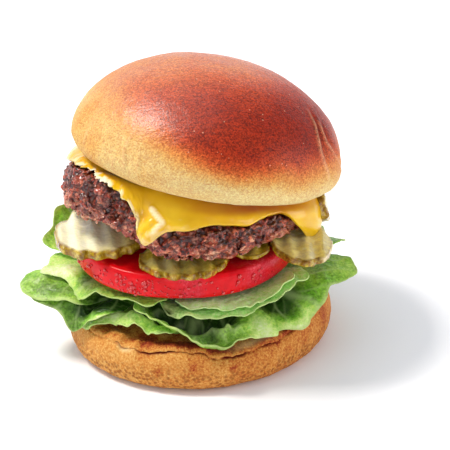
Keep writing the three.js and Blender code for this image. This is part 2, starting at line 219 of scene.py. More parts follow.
def feed(made, inputs):
    """Sets a node's inputs. Each is a value, a hex colour, the name of values painted on the mesh, the
    node or socket that feeds it, or a list of one of these and its strength."""
    tree = made.id_data
    for socket, value in inputs.items():
        if isinstance(value, list):
            value = node(tree, "Math", dict(enumerate(value)), operation="MULTIPLY")
        elif isinstance(value, str) and not value.startswith("#"):
            value = node(tree, "Attribute", attribute_name=value).outputs["Fac"]
        if isinstance(value, bpy.types.Node):
            value = value.outputs[0]
        if isinstance(value, bpy.types.NodeSocket):
            tree.links.new(value, made.inputs[socket])
        else:
            made.inputs[socket].default_value = linear(value) if isinstance(value, str) else value


def node(tree, kind, inputs=None, ramp=(), **settings):
    """Adds a node with its settings, its links and the colours of its ramp."""
    made = tree.nodes.new("ShaderNode" + kind)
    for name, value in settings.items():
        setattr(made, name, value)
    feed(made, inputs or {})
    for number, (place, colour) in enumerate(ramp):
        stops = made.color_ramp.elements
        stop = stops[number] if number < len(stops) else stops.new(1)
        stop.position = place
        stop.color = linear(colour)
    return made


def material(name, **sockets):
    """A new material, its tree and its Principled shader, with constants set on the shader."""
    made = bpy.data.materials.new(name)
    made.use_nodes = True
    shader = made.node_tree.nodes["Principled BSDF"]
    feed(shader, {socket.replace("_", " "): value for socket, value in sockets.items()})
    return made, made.node_tree, shader


def per(size):
    """The scale of a pattern whose cells are that many millimetres."""
    return 1 / (size * MM)


def dress(piece, finish, slot, *nodes):
    """Gives a finished piece its material and body, hides the solids it stands for; `slot` is not used."""
    piece.data.materials.clear()
    piece.data.materials.append(finish)
    piece.data.polygons.foreach_set("use_smooth", [True] * len(piece.data.polygons))
    piece.data.update()
    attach(piece, "root")
    if nodes:
        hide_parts(*nodes)


# The tear runs round at radius `tear` and height `crack`; the cut face begins at `edge`.
HEEL = {"radius": 50.6, "widest": 7.2, "foot": 44.0, "crack": 14.7, "tear": 48, "edge": 15.6, "face": 17.4,
        "steps": 540}
# Height of the tear round the heel.
CRACK = [[-175, 15.6], [-150, 15.8], [-132, 16.1], [-128, 16.4], [-126, 14.7], [-120, 15.7],
         [-116, 15.0], [-109, 15.7], [-98, 16.5], [-88, 16.0], [-86.5, 14.4], [-84, 13.6], [-77, 13.2],
         [-73, 13.6], [-67, 14.0], [-61, 15.0], [-53, 14.4], [-47, 15.1], [-42, 16.2], [-36, 17.0],
         [-20, 16.6], [30, 15.2], [90, 14.8], [140, 15.2]]
# Browner places: [azimuth, height or radius, width, depth], on the side and on the cut face.
SIDE_SPOTS = [[-108, 9.6, 1.3, 0.26], [-93, 11.4, 1.8, 0.2], [-76, 10.8, 1.2, 0.28], [-58, 12, 1.4, 0.12],
              [-20, 12, 3, 0.2], [60, 9, 2, 0.25], [130, 11, 2, 0.25], [170, 8, 1.5, 0.25]]
FACE_SPOTS = [[-116, 42, 3.4, 0.4], [-107, 44, 2.6, 0.3], [-98, 45.5, 2.8, 0.6], [-90, 44.5, 2.6, 0.7],
              [-80, 45.5, 2.4, 0.5], [-60, 46.5, 2.4, 0.6], [-43, 46.5, 2.4, 0.6], [-34, 46.8, 2.0, 0.7],
              [-25, 46.5, 2.6, 0.9], [-15, 46.5, 2.6, 1.0], [-5, 46.5, 2.6, 0.9], [20, 46, 4, 0.7],
              [75, 45, 4, 0.6], [150, 45, 4, 0.6]]


def heel_outline():
    """Half of its section: the foot, the rounded side, the wall, the lips of the tear, the cut face."""
    foot = [(r, 0) for r in np.linspace(0, HEEL["foot"], 16)]
    side = [(HEEL["foot"] + (HEEL["radius"] - HEEL["foot"]) * math.sin(a),
             HEEL["widest"] * (1 - math.cos(a))) for a in np.linspace(0, math.pi / 2, 18)[1:]]
    wall = evenly([side[-1], (50.6, 8.8), (50.3, 10.6), (49.8, 12.4), (49.0, 13.8), (48.7, 14.3)], 18)
    tear = [(48.2, 14.5), (47.4, 14.6), (46.9, 14.7), (47.4, 14.85), (48.0, 15.0)]
    face = evenly([(48.1, 15.3), (47.5, 16.0), (46.2, 16.7), (44.2, 17.1), (36, 17.4), (20, 17.4)], 34)
    middle = [(r, HEEL["face"]) for r in np.linspace(20, 0, 10)[1:]]
    return [*foot, *side, *wall[1:], *tear, *face, *middle]


heel = spun("heel", heel_outline(), HEEL["steps"])
spots = points_of(heel)
r, azimuth = polar(spots)
z = spots[:, 2]
# the tear: closed up where `gape` is 0, and wandering up and down with its rim
gash = bell(z - HEEL["crack"], 0.16) * (r > 46.5) * (r < 48.5)
round_spots = placed(HEEL["tear"], azimuth, 0)
gape = np.clip(0.62 + 0.75 * rough(round_spots, 5, 3), 0.0, 1)
gape = gape * (0.25 + 0.75 * facing(azimuth, -88, 52)) * (1 - 0.95 * facing(azimuth, -142, 16))
swell = 1 + 0.006 * np.sin(np.radians(azimuth) * 2 + 0.4) + 0.004 * np.sin(np.radians(azimuth) * 5 + 1.9)
rim = ease((z - 8) / 6.3) * ease((r - 40) / 7)
wander = round_values(CRACK, azimuth)[0] - HEEL["crack"]
for high, size, seed in ((0.4, 2.6, 5), (0.4, 1.2, 6), (0.2, 0.6, 7)):
    wander = wander + high * noise(round_spots, size, seed)
lip = ease((z - 14.75) / 0.5) * (1 - ease((z - HEEL["edge"]) / 1.2))
wander = wander + lip * 0.1 * gape
r_new = r * swell + gash * (1 - gape) * 1.2 - lip * 0.05 * gape
heel_points = placed(r_new, azimuth, z + wander * rim)
put_points(heel, heel_points)
# a baked skin's lumps, and small pores low on the side
on_face = ease((z - HEEL["edge"]) / 1.2)
crust_lumps = 0.2 * rough(heel_points, 8, 11) + 0.1 * noise(heel_points, 1.9, 12)
crust_lumps = crust_lumps + on_face * 0.28 * rough(heel_points, 3.4, 13)
pore = bell(grains(heel_points, 1.5, 14)[0], 0.36)
low = ease((z - 0.3) / 1.2) * (1 - ease((z - 6) / 7))
pits = 0.25 * pore * low * (0.75 + 0.25 * noise(heel_points, 9, 2))
raise_skin(heel, np.where(z < 0.05, 0, crust_lumps - pits))
put_points(heel, np.maximum(points_of(heel), [-99, -99, 0]))
# how brown it baked, where bare crumb shows, and painted shade inside the tear
side_brown = sum(deep * bell(np.hypot(turn_between(azimuth, at) * 0.87, z - high), wide)
                 for at, high, wide, deep in SIDE_SPOTS) * (1 - on_face)
face_brown = sum(deep * bell(np.hypot(turn_between(azimuth, at) * 0.5, r - out), wide)
                 for at, out, wide, deep in FACE_SPOTS) * on_face
toasted = 0.3 + 0.12 * on_face + 0.14 * rough(heel_points, 7, 21) * (0.4 + on_face)
toasted = toasted + side_brown + face_brown
toasted = toasted + 0.12 * ease((turn_between(azimuth, -120) + 10) / 80) * (1 - on_face)
toasted = toasted + 0.5 * bell(z - wander * rim - 15.2, 1.0) * facing(azimuth, -22, 34)
bare = 0.9 * facing(azimuth, -124, 3.2) * bell(z - 14.4, 0.6)
bare = bare + 0.5 * on_face * facing(azimuth, -66, 9) * bell(r - 46, 2)
# painted shade inside the tear, darkest where it gapes
torn = bell(z - HEEL["crack"], 0.24) * (r > 46.2) * (r < 48.8) * gape * 1.6
paint(heel, toasted=np.where(z < 0.05, 0.3, toasted), torn=torn, low=low, bare=bare)

# Bread crust, baked: dry and matt, golden with browner clouds, its pores like fine honeycomb.
bread_crust, tree, shader = material("bread_crust", Roughness=0.72, IOR=1.4, Specular_IOR_Level=0.3)
where = node(tree, "TexCoord").outputs["Object"]
clouds = node(tree, "TexNoise", {"Vector": where, "Scale": per(5), "Detail": 5, "Roughness": 0.62})
speckle = node(tree, "TexNoise", {"Vector": where, "Scale": per(0.8), "Detail": 3, "Roughness": 0.75})
drift = node(tree, "Math", {0: clouds, 1: 0.34, 2: -0.62}, operation="MULTIPLY_ADD")
baked = node(tree, "Math", {0: "toasted", 1: drift}, operation="ADD")
mottled = node(tree, "Math", {0: speckle, 1: 1.25, 2: baked}, operation="MULTIPLY_ADD")
crust = node(tree, "ValToRGB", {"Fac": mottled}, ramp=[
    (0.16, "#E8C078"), (0.4, "#D49A4C"), (0.62, "#C27830"), (0.82, "#A0401A"), (1.0, "#74220E")])
# painted shade in the pores low on the side
cells = node(tree, "TexVoronoi", {"Vector": where, "Scale": per(1.6), "Randomness": 0.9})
dots = node(tree, "MapRange", {"Value": cells, "From Min": 0.18, "From Max": 0.6, "To Min": 1, "To Max": 0},
            interpolation_type="SMOOTHSTEP")
holes = node(tree, "Math", {0: dots, 1: "low"}, operation="MULTIPLY")
# painted shade in the pores low on the side, bare crumb at the crust's edge, and painted shade
# inside the tear
for share, colour in (([holes, 0.9], "#96541E"), ("bare", "#E6C98E"), ("torn", "#6E1A08")):
    crust = node(tree, "MixRGB", {"Fac": share, "Color1": crust, "Color2": colour})
grain = node(tree, "TexNoise", {"Vector": where, "Scale": per(0.7), "Detail": 3})
pitted = node(tree, "Math", {0: holes, 1: -0.9, 2: grain}, operation="MULTIPLY_ADD")
relief = node(tree, "Bump", {"Height": pitted, "Strength": 0.9, "Distance": 0.4 * MM})
feed(shader, {"Base Color": crust, "Normal": relief})
dress(heel, bread_crust, "heel_crumb", "bottom_bun")

# ------------------------------------------------------------------ the lettuce
# Green leaf lettuce, torn and laid by hand: limp sheets about half a millimetre thick, blistered
# between their veins, with ruffled margins. Each leaf is a grid drawn out from the stack's middle.

LEAF = {"inner": 6, "bend": 35, "handle": 0.42, "thick": 0.5}
# Stations are [azimuth, height leaving the stack, reach and height of the margin, lean of the margin].
# `level` is its height at the stack's heart, `ruffle` is [height, depth, waves in a turn], `frill` how
# much the margin is crumpled, `slant` swings the right edge in, `pale` is how blanched and `cool` how
# blue a green it is painted, to offset the red light that the tomato throws on it. A lip [azimuth, width,
# length, angle] is margin curled up or down; a ridge [azimuth, width, radius, thickness, height] is a
# pleat. A patch [azimuth, width, share of the way out, width, amount] is painted highlight where its
# amount is above 0 and painted shade where it is below.
LEAVES = [
    {"name": "lettuce_front_left", "level": 19, "ruffle": [1.2, 0.9, 17], "pale": 0.3,
     "frill": 1.7, "lips": [[-146, 7, 2, -80]],
     "ridges": [[-122, 12, 41, 2.4, 2.2], [-106, 9, 46, 6, 1.9], [-108, 14, 36, 3.5, -3]],
     "patches": [[-135, 16, 0.42, 0.17, -1.3], [-112, 14, 0.38, 0.22, -1.6],
                 [-157, 8, 0.6, 0.15, -0.8], [-138, 8, 0.82, 0.12, 0.35]],
     "stations": [[-164, 22, 49.5, 18.6, -30], [-148, 24, 50.5, 17.2, -55], [-137, 27, 47, 21.5, -30],
                  [-122, 25, 46, 22.8, -15], [-108, 22.6, 46, 21.8, -12], [-97, 21, 45, 20, -15]]},
    {"name": "lettuce_front", "level": 23.2, "slant": 12, "ruffle": [0.5, 0.7, 26], "pale": 0.35,
     "lips": [[-104, 10, 2.6, 60], [-84, 9, 2.6, 75]],
     "ridges": [[-82, 9, 43.2, 1.6, 5], [-73, 5, 44.5, 1.5, 2.4], [-106, 11, 39.5, 3.5, -5],
                [-86, 10, 38, 3, -4]],
     "patches": [[-88, 10, 0.44, 0.22, -1.7], [-110, 12, 0.5, 0.2, -1.7], [-72, 6, 0.5, 0.15, -1.3],
                 [-80, 8, 0.9, 0.07, -0.6], [-61, 7, 0.85, 0.22, 0.55]],
     "stations": [[-127, 29.6, 44, 31.6, 8], [-113, 27.6, 45.5, 29.4, 15], [-102, 26, 46.8, 26.6, 20],
                  [-94, 25, 48.5, 22.6, 28], [-86, 25.6, 51, 19.4, 35], [-76, 27, 50.8, 20.3, 25],
                  [-67, 28, 50, 20.4, -25], [-59, 28, 50.3, 18.2, -65], [-50, 27.6, 51.4, 15, -75]]},
    {"name": "lettuce_right", "level": 20.4, "ruffle": [0.6, 0.7, 20], "pale": 0.2,
     "lips": [[-38, 10, 1.8, -30], [-10, 8, 1.5, 40]],
     "ridges": [[-22, 6, 52, 4, 1.2], [-40, 8, 44, 3, -1.5]],
     "patches": [[-43, 8, 0.54, 0.17, -1.2], [-31, 6, 0.6, 0.13, -0.6], [-42, 10, 0.93, 0.14, 0.6],
                 [-18, 12, 0.8, 0.2, 0.15]],
     "stations": [[-62, 22, 44.5, 19.6, -15], [-50, 23, 48, 18.4, -40], [-41, 24, 50.6, 17.4, -55],
                  [-33, 26, 51.4, 21, -45], [-24, 28, 54, 24.8, -30], [-12, 29.6, 60.5, 28.6, -15],
                  [1, 30, 58, 31, 5]]},
    {"name": "lettuce_middle", "level": 27.4, "ruffle": [0.4, 0.3, 21], "pale": 0.5, "cool": 0.35,
     "lips": [[-70, 40, 1.2, 45]], "patches": [[-105, 4, 0.95, 0.1, -1.4], [-98, 9, 0.6, 0.2, -0.8]],
     "stations": [[-110, 31, 44.5, 32.4, 0], [-94, 30.2, 46.5, 30.2, -10], [-79, 29.6, 46.5, 29.2, -15],
                  [-64, 29.6, 46.5, 29, -12], [-50, 30.4, 46.8, 31, -5], [-36, 31, 47.4, 33.6, 10],
                  [-24, 31.2, 48, 35.4, 20]]},
    {"name": "lettuce_inner", "level": 30.4, "ruffle": [0.3, 0.2, 19], "pale": 0.72, "cool": 0.45,
     "stations": [[-102, 32, 43.6, 33.2, 0], [-88, 32, 45, 33.2, -8], [-73, 31.4, 46, 31, -20],
                  [-60, 31.4, 46, 31.4, -12], [-47, 31.6, 46.4, 33.8, 5], [-32, 31.6, 47.2, 37, 28]]},
    {"name": "lettuce_top_left", "level": 33, "ruffle": [0.6, 0.7, 24], "pale": 0.35,
     "lips": [[-152, 8, 2.2, -70], [-176, 9, 2, -75]],
     "ridges": [[-166, 7, 50, 3, 1.4], [-141, 5, 45, 2.5, 1]],
     "patches": [[-168, 8, 0.9, 0.25, 0.8], [-130, 14, 0.8, 0.1, -0.4], [-156, 7, 0.75, 0.12, -0.6]],
     "stations": [[-190, 32.6, 50, 33.4, 5], [-180, 32.6, 55.5, 33, 0], [-171, 32.6, 57.5, 31.4, -15],
                  [-161, 32.8, 51, 31, -30], [-151, 32.8, 50, 29.6, -45], [-140, 33.2, 48.2, 33, -15],
                  [-122, 33.2, 46, 34.2, 0], [-106, 33.2, 44.6, 33.8, 0]]},
    {"name": "lettuce_left_upper", "level": 29.2, "ruffle": [0.5, 0.8, 21], "pale": 0.3,
     "lips": [[-170, 9, 2, -80]], "ridges": [[-172, 6, 59, 3.5, 1.5]],
     "patches": [[-143, 8, 0.75, 0.25, -1.3], [-162, 8, 0.82, 0.12, -0.6]],
     "stations": [[-192, 29.6, 52, 31.4, 0], [-182, 29.6, 60, 29.6, -8], [-169, 29.4, 67.5, 28.2, -12],
                  [-160, 28.6, 60, 26.8, -25], [-143, 28.4, 47, 27.4, 0]]},
    {"name": "lettuce_left_lower", "level": 25.4, "ruffle": [0.4, 0.6, 23], "pale": 0.1,
     "lips": [[-168, 8, 2, 70]], "ridges": [[-151, 4, 50, 3, 1.5]],
     "patches": [[-150, 14, 0.68, 0.15, -1.0], [-136, 8, 0.7, 0.14, -1.4], [-135, 8, 0.97, 0.1, 1.0],
                 [-152, 7, 0.93, 0.14, -0.6]],
     "stations": [[-182, 25.8, 57, 25.8, 0], [-170, 25.8, 65.5, 25, 5], [-162, 25.6, 60, 23.6, -20],
                  [-156, 26.2, 57, 21, -55], [-150, 26.2, 54.6, 14.6, -80], [-143, 26.2, 51.5, 21.4, -60],
                  [-132, 26.2, 46.5, 25, -15]]},
    {"name": "lettuce_back_left", "level": 34.2, "ruffle": [0.8, 0.8, 17], "pale": 0.35,
     "stations": [[98, 34.4, 49, 33.6, -5], [114, 34.6, 52, 34.6, 10], [132, 34.6, 55, 38, 40],
                  [148, 34.6, 57.6, 43, 62], [159, 34.6, 57.6, 46, 68], [168, 34.6, 58.2, 43, 62],
                  [175, 34.6, 60, 38.6, 25], [182, 34.8, 56, 36, 5]]},
    {"name": "lettuce_back_right", "level": 28, "ruffle": [1, 1, 17], "pale": 0.2,
     "stations": [[3, 31, 57, 31.6, 5], [12, 30.6, 59, 29.4, -15], [26, 30.4, 57, 27.6, -25],
                  [44, 30, 55, 29, -5], [66, 29.6, 53, 30, 0], [92, 29.2, 49, 31, 0]]},
    {"name": "lettuce_back", "level": 22.6, "ruffle": [1.4, 1.2, 13], "pale": 0.3,
     "stations": [[3, 23, 50, 20.5, -20], [20, 24, 52, 18.6, -50], [48, 25, 51, 21.5, -25],
                  [80, 25, 53, 18.8, -50], [112, 25, 51, 21.5, -25], [146, 25, 54, 19.4, -45],
                  [176, 24, 52, 22, -20]]},
]


def pick(active, *others):
    """Selects these pieces and no others, the first one active."""
    bpy.ops.object.select_all(action="DESELECT")
    for piece in (active, *others):
        piece.select_set(True)
    bpy.context.view_layer.objects.active = active


def finish_with(piece, kind, **settings):
    """Adds a modifier with its settings and applies it."""
    pick(piece)
    made = piece.modifiers.new(kind.lower(), kind)
    for name, value in settings.items():
        setattr(made, name, value)
    bpy.ops.object.modifier_apply(modifier=made.name)


def crooked(radius, at, turn):
    """Radius of a pleat that wanders in and out as it goes round."""
    return radius + 0.9 * np.sin(turn * 31 + at) + 0.5 * np.sin(turn * 53 + radius)


def leaf_points(leaf, azimuth, t):
    """The leaf's surface: `t` is 0 at the heart of the stack and 1 at the margin."""
    turn = np.radians(azimuth)
    lips = [(long * facing(azimuth, at, wide), angle)
            for at, wide, long, angle in leaf.get("lips", [])]
    length = sum(long for long, _ in lips) + 1e-6
    curl_to = np.radians(sum(long * angle for long, angle in lips) / length)
    share = length / (length + 30)
    past = np.clip((t - (1 - share)) / share, 0, 1)
    inner = np.minimum(t / (1 - share), 1)
    crest, reach, height, lean = station_values(leaf["stations"], azimuth)
    lean = np.radians(lean)
    handle = (reach - LEAF["bend"]) * LEAF["handle"] + 3
    weights = [(1 - inner) ** 3, 3 * inner * (1 - inner) ** 2, 3 * inner * inner * (1 - inner), inner**3]
    out = [LEAF["inner"], LEAF["bend"], reach - handle * np.cos(lean), reach]
    up = [leaf["level"], crest, height - handle * np.sin(lean), height]
    rise, depth, waves = leaf["ruffle"]
    r = sum(w * p for w, p in zip(weights, out))
    z = sum(w * p for w, p in zip(weights, up))
    for at, wide, radius, thick, high in leaf.get("ridges", []):
        z = z + high * facing(azimuth, at, wide) * bell(r - crooked(radius, at, turn), thick)
    x = np.minimum(past / 0.4, 1)
    bent = 0.4 * (x**3 - x**4 / 2) + np.maximum(past - 0.4, 0)
    r = r + length * ((past - bent) * np.cos(lean) + bent * np.cos(curl_to))
    z = z + length * ((past - bent) * np.sin(lean) + bent * np.sin(curl_to))
    r = r + depth * t**4 * np.sin(turn * waves * 1.31 + leaf["level"])
    z = z + rise * t**4 * np.sin(turn * waves + 2 * leaf["level"])
    return placed(r, azimuth, z)


def lettuce_leaf(leaf, seed):
    """One leaf: a grid laid out to its shape, veined, crumpled, painted and given its thickness."""
    first, last = leaf["stations"][0][0], leaf["stations"][-1][0]
    columns, rows = int((last - first) * 1.9) + 40, 76
    piece = blank(leaf["name"] + "_leaf", bpy.ops.mesh.primitive_grid_add, size=1000 * MM,
                  x_subdivisions=columns, y_subdivisions=rows)
    flat = points_of(piece) / 1000 + 0.5
    u, t = flat[:, 0], 1 - (1 - flat[:, 1]) ** 1.25
    # the margin wanders in and out in lobes, and its corners are rounded
    side = np.minimum(u, 1 - u) * (last - first) * 0.8
    around = np.column_stack([first + u * (last - first), 0 * u, 0 * u]) * 0.85
    lobes = 0.55 + 0.35 * rough(around, 9, seed + 6) + 0.12 * noise(around, 1.6, seed + 7)
    t = t * (1 - 0.045 * np.clip(lobes, 0, 2) - 0.22 * (1 - ease(side / 7)) ** 2)
    azimuth = first * (1 - u) + (last - leaf.get("slant", 0) * (1 - t)) * u
    spots = leaf_points(leaf, azimuth, t)
    margin = ease((t - 0.6) / 0.4)
    # a midrib, ribs that branch off it towards the margin, and a faint net between them
    r, _ = polar(spots)
    plane = np.column_stack([np.radians(azimuth) * r, r, 0 * r])
    warp = 1.8 * rough(plane, 13, seed)
    across = plane[:, 0] - np.radians(0.55 * first + 0.45 * last) * r + warp
    branch = (r * 0.62 - 0.8 * np.abs(across) + 1.2 * noise(plane, 8, seed + 1)) / 6.5
    near = np.abs(branch - np.round(branch)) * 6.5
    twig = (r * 0.8 + 0.55 * across + 1.5 * noise(plane, 6, seed + 9)) / 3.4
    fine = np.abs(twig - np.round(twig)) * 3.4
    fade = ease(np.abs(across) / 3) * (1 - 0.5 * margin)
    rib = np.maximum(bell(across, 0.6 + 2.2 * (1 - t)), 0.75 * bell(near, 0.45) * fade)
    vein = np.maximum(rib, 0.32 * bell(fine, 0.3) * ease(np.abs(across) / 4))
    put_points(piece, spots)
    # folds run out along the radius and deepen to the margin, with blisters between the veins
    pleats = np.column_stack([np.radians(azimuth) * 48, r * 0.3, 0 * r])
    fold = margin**1.5 * (1.25 * noise(pleats, 8.5, seed + 4) + 0.5 * noise(pleats, 3.6, seed + 5))
    fold = fold + leaf.get("frill", 0.6) * ease((t - 0.8) / 0.2) * 0.8 * noise(pleats, 2.6, seed + 10)
    puff = 0.45 * bell(fine - 1.7, 1.1) * bell(near - 3.2, 2.4) + 0.3 * noise(spots, 2.6, seed + 3)
    raise_skin(piece, fold + 0.55 * puff * ease((t - 0.35) / 0.4) - 0.22 * rib)
    # patches: painted highlight where the amount is above 0, painted shade where it is below
    patches = sum(amount * facing(azimuth, at, wide) * bell(t - out, deep)
                  for at, wide, out, deep, amount in leaf.get("patches", [])) + 0 * t
    # painted shade from the patches below 0, and more of it towards the stack's heart
    hollow = np.maximum(-patches, 0) + 0.25 * (1 - ease((t - 0.55) / 0.3))
    # the tops of the high pleats get the same painted highlight as the margin
    crest = sum(facing(azimuth, at, wide)
                * bell(r - crooked(radius, at, np.radians(azimuth)) + 0.3, 0.7)
                for at, wide, radius, _, high in leaf.get("ridges", []) if high > 2) + 0 * t
    blanched = leaf["pale"] + 0.1 + 0.1 * (1 - ease((t - 0.45) / 0.45)) + 0.18 * rough(spots, 12, seed + 8)
    # the patches above 0 add their painted highlight
    blanched = blanched + np.maximum(patches, 0)
    # painted highlight along the margin and on the crests
    edge = np.maximum(ease((t - 0.93) / 0.05), crest)
    paint(piece, vein=vein, blanched=blanched, edge=edge, hollow=hollow, cool=leaf.get("cool", 0) + 0 * t)
    finish_with(piece, "SOLIDIFY", thickness=LEAF["thick"] * MM, offset=0)
    return piece


# Fresh leaf: a wet, waxy skin over thin tissue that light comes through; the veins are paler.
leaf_green, tree, shader = material("lettuce_leaf", Roughness=0.38, IOR=1.4, Specular_IOR_Level=0.22,
                                    Coat_Weight=0.25, Coat_Roughness=0.12)
where = node(tree, "TexCoord").outputs["Object"]
cloudy = node(tree, "TexNoise", {"Vector": where, "Scale": per(5), "Detail": 4, "Roughness": 0.6})
drift = node(tree, "Math", {0: cloudy, 1: 0.4, 2: -0.2}, operation="MULTIPLY_ADD")
tone = node(tree, "Math", {0: "blanched", 1: drift}, operation="ADD")
blade = node(tree, "ValToRGB", {"Fac": tone}, ramp=[
    (0.0, "#428818"), (0.25, "#82BE38"), (0.5, "#B4E05C"), (0.75, "#D8F290"), (1.0, "#EAFABC")])
# bluer green painted against the red light that the tomato throws on the leaves under it
greener = node(tree, "MixRGB", {"Fac": "cool", "Color1": blade, "Color2": "#C4FFB4"})
# painted shade in the hollows
shady = node(tree, "MixRGB", {"Fac": ["hollow", 0.95], "Color1": greener, "Color2": "#163A0A"})
fine = node(tree, "TexNoise", {"Vector": where, "Scale": per(1.0), "Detail": 2, "Roughness": 0.7})
spread = node(tree, "MapRange", {"Value": fine, "From Min": 0.32, "From Max": 0.68, "To Min": 0.06,
                                 "To Max": 0.94})
tissue = node(tree, "MixRGB", {"Fac": 0.5, "Color1": shady, "Color2": spread}, blend_type="OVERLAY")
veined = node(tree, "MixRGB", {"Fac": ["vein", 0.45], "Color1": tissue, "Color2": "#CFE29C"})
# painted highlight along the margins and crests
edged = node(tree, "MixRGB", {"Fac": ["edge", 0.6], "Color1": veined, "Color2": "#D8E69C"})
skin = node(tree, "TexNoise", {"Vector": where, "Scale": per(1.1), "Detail": 3})
relief = node(tree, "Bump", {"Height": skin, "Strength": 0.8, "Distance": 0.35 * MM})
feed(shader, {"Base Color": edged, "Normal": relief, "Coat Normal": relief})
through = node(tree, "BsdfTranslucent", {"Color": edged})
sheet = node(tree, "MixShader", {0: 0.25, 1: shader, 2: through})
feed(tree.nodes["Material Output"], {"Surface": sheet})
for number, leaf in enumerate(LEAVES):
    dress(lettuce_leaf(leaf, 100 * (number + 1)), leaf_green, "lettuce_leaf", leaf["name"])

# ------------------------------------------------------------------ the tomato
# One thick slice of a ripe tomato, wet from the knife: smooth skin round it and juicy flesh on both
# cuts. It is a turned disc with rounded edges that lies on the lettuce, tipped to the front.

TOMATO = {"centre": (-4.5, 0, 40.9), "radius": 42.8, "thick": 9.4, "bevel": 2.1, "front": 1.5, "right": 2.3,
          "steps": 300}


def rounded_edge(radius, bevel, half, count, out, up):
    """The side of a disc from its lower to its upper face; low powers `out` and `up` make it square."""
    return [(radius - bevel + bevel * max(math.cos(a), 0) ** out,
             half * math.copysign(abs(math.sin(a)) ** up, a))
            for a in np.linspace(-math.pi / 2, math.pi / 2, count)]


def tomato_outline():
    """Half of the slice's section, from the middle of its lower cut to the middle of its upper one."""
    half, radius, bevel = TOMATO["thick"] / 2, TOMATO["radius"], TOMATO["bevel"]
    side = rounded_edge(radius, bevel, half, 40, 0.75, 0.62)
    under = [(r, -half) for r in np.linspace(0, radius - bevel - 0.5, 26)]
    over = [(r, half) for r in np.linspace(radius - bevel - 0.5, 0, 26)]
    return [*under, *side, *over]


def tomato_swell(turn):
    """How far out of round the fruit is, by the angle round it."""
    return 1 + 0.008 * np.sin(turn * 5 + 0.3) + 0.006 * np.sin(turn * 3 + 2)


def settle(piece, place, turn_x, turn_y):
    """Turns a piece about X then Y, sets it down in its place, and applies both."""
    pick(piece)
    piece.rotation_euler = (math.radians(turn_x), math.radians(turn_y), 0)
    piece.location = Vector(place) * MM
    bpy.ops.object.transform_apply(location=True, rotation=True, scale=False)


slice_ = spun("tomato_slice", tomato_outline(), TOMATO["steps"])
spots = points_of(slice_)
_, azimuth = polar(spots)
swell = tomato_swell(np.radians(azimuth))
put_points(slice_, spots * np.column_stack([swell, swell, np.ones(len(swell))]))
spots = points_of(slice_)
r, _ = polar(spots)
on_cut = ease((TOMATO["radius"] - 1.8 - r) / 1.2)
raise_skin(slice_, 0.1 * rough(spots, 9, 31) + 0.12 * on_cut * noise(spots, 2.4, 32))
pink = np.maximum(facing(azimuth, -86, 5.5), 0.9 * facing(azimuth, -46, 12))
paint(slice_, fleshy=pink * (0.75 + 0.4 * noise(spots, 3, 33)))

# Tomato skin and flesh: red all through, wet and clear, so light sinks in and the gloss is sharp.
tomato_flesh, tree, shader = material("tomato_flesh", Roughness=0.25, IOR=1.36, Specular_IOR_Level=0.22,
                                      Subsurface_Weight=0.1, Subsurface_Scale=1.4 * MM,
                                      Subsurface_Radius=(1.0, 0.2, 0.12), Coat_Weight=0.15,
                                      Coat_Roughness=0.06)
where = node(tree, "TexCoord").outputs["Object"]
streaks = node(tree, "TexNoise", {"Vector": where, "Scale": per(7), "Detail": 4, "Roughness": 0.6})
ripe = node(tree, "ValToRGB", {"Fac": streaks}, ramp=[(0.25, "#BC020C"), (0.5, "#D60613"), (0.75, "#E6161E")])
dew = node(tree, "TexNoise", {"Vector": where, "Scale": per(0.8), "Detail": 2})
fleck = node(tree, "MapRange", {"Value": dew, "From Min": 0.45, "From Max": 0.7})
flesh = node(tree, "MixRGB", {"Fac": fleck, "Color1": "#B81C34", "Color2": "#D8586A"})
pinked = node(tree, "MixRGB", {"Fac": ["fleshy", 0.7], "Color1": ripe, "Color2": flesh})
juicy = node(tree, "TexNoise", {"Vector": where, "Scale": per(1.6), "Detail": 3})
relief = node(tree, "Bump", {"Height": juicy, "Strength": 0.25, "Distance": 0.2 * MM})
feed(shader, {"Base Color": pinked, "Normal": relief})
settle(slice_, TOMATO["centre"], TOMATO["front"], TOMATO["right"])
dress(slice_, tomato_flesh, "tomato_flesh", "tomato")

# ------------------------------------------------------------------ the pickles
# Crinkle-cut slices of a pickled gherkin: clear yellow-green flesh with a seedy middle inside a thin
# warty olive skin. Each is a turned disc drawn out to an oval, both faces waved alike by the cutter.

# Millimetres from wave to wave of the cutter, from wart to wart and from seed to seed.
RIDGE_PITCH, WARTS, SEEDS = 6.2, 3.4, 2.6
# `tip` leans a slice to the right and the front, `cut` turns its ridges. `pale` whitens its flesh, the
# whitest part being a painted highlight, and `fade` is the share of its right where that gives way to
# clearer flesh. `scarred` is the share of its skin made paler on one side: whitish scars with a painted
# highlight along the rim.
PICKLES = [
    {"name": "pickle_left", "at": (-33, -13, 50.2), "radius": (19, 19.5), "thick": 3.6, "tip": (-3, 3),
     "cut": 8, "pale": 1.0, "fade": 0.7, "ridge": 0.3, "scallop": 1.2},
    {"name": "pickle_front", "at": (-4.0, -31.8, 47.0), "radius": (16.2, 15.2), "thick": 2.6, "tip": (1, 2),
     "cut": 4, "pale": 0.16, "ridge": 0.7, "scallop": 1.9},
    {"name": "pickle_middle", "at": (19.6, -23, 45.9), "radius": (7.6, 9), "thick": 1.6, "tip": (2, 1),
     "pale": 0.1, "ridge": 0.5, "scallop": 0.8},
    {"name": "pickle_right", "at": (39, -20, 44.8), "radius": (11.8, 15.4), "thick": 2.7, "tip": (8, 2),
     "pale": 0.35, "ridge": 0.4, "scallop": 1.1, "scarred": 1.0},
    {"name": "pickle_upper", "at": (47.6, -3.4, 52.6), "radius": (6.4, 7.8), "thick": 4.2, "tip": (78, 0),
     "pale": 0.3, "ridge": 0.3, "scallop": 0.6, "scarred": 1.3},
]


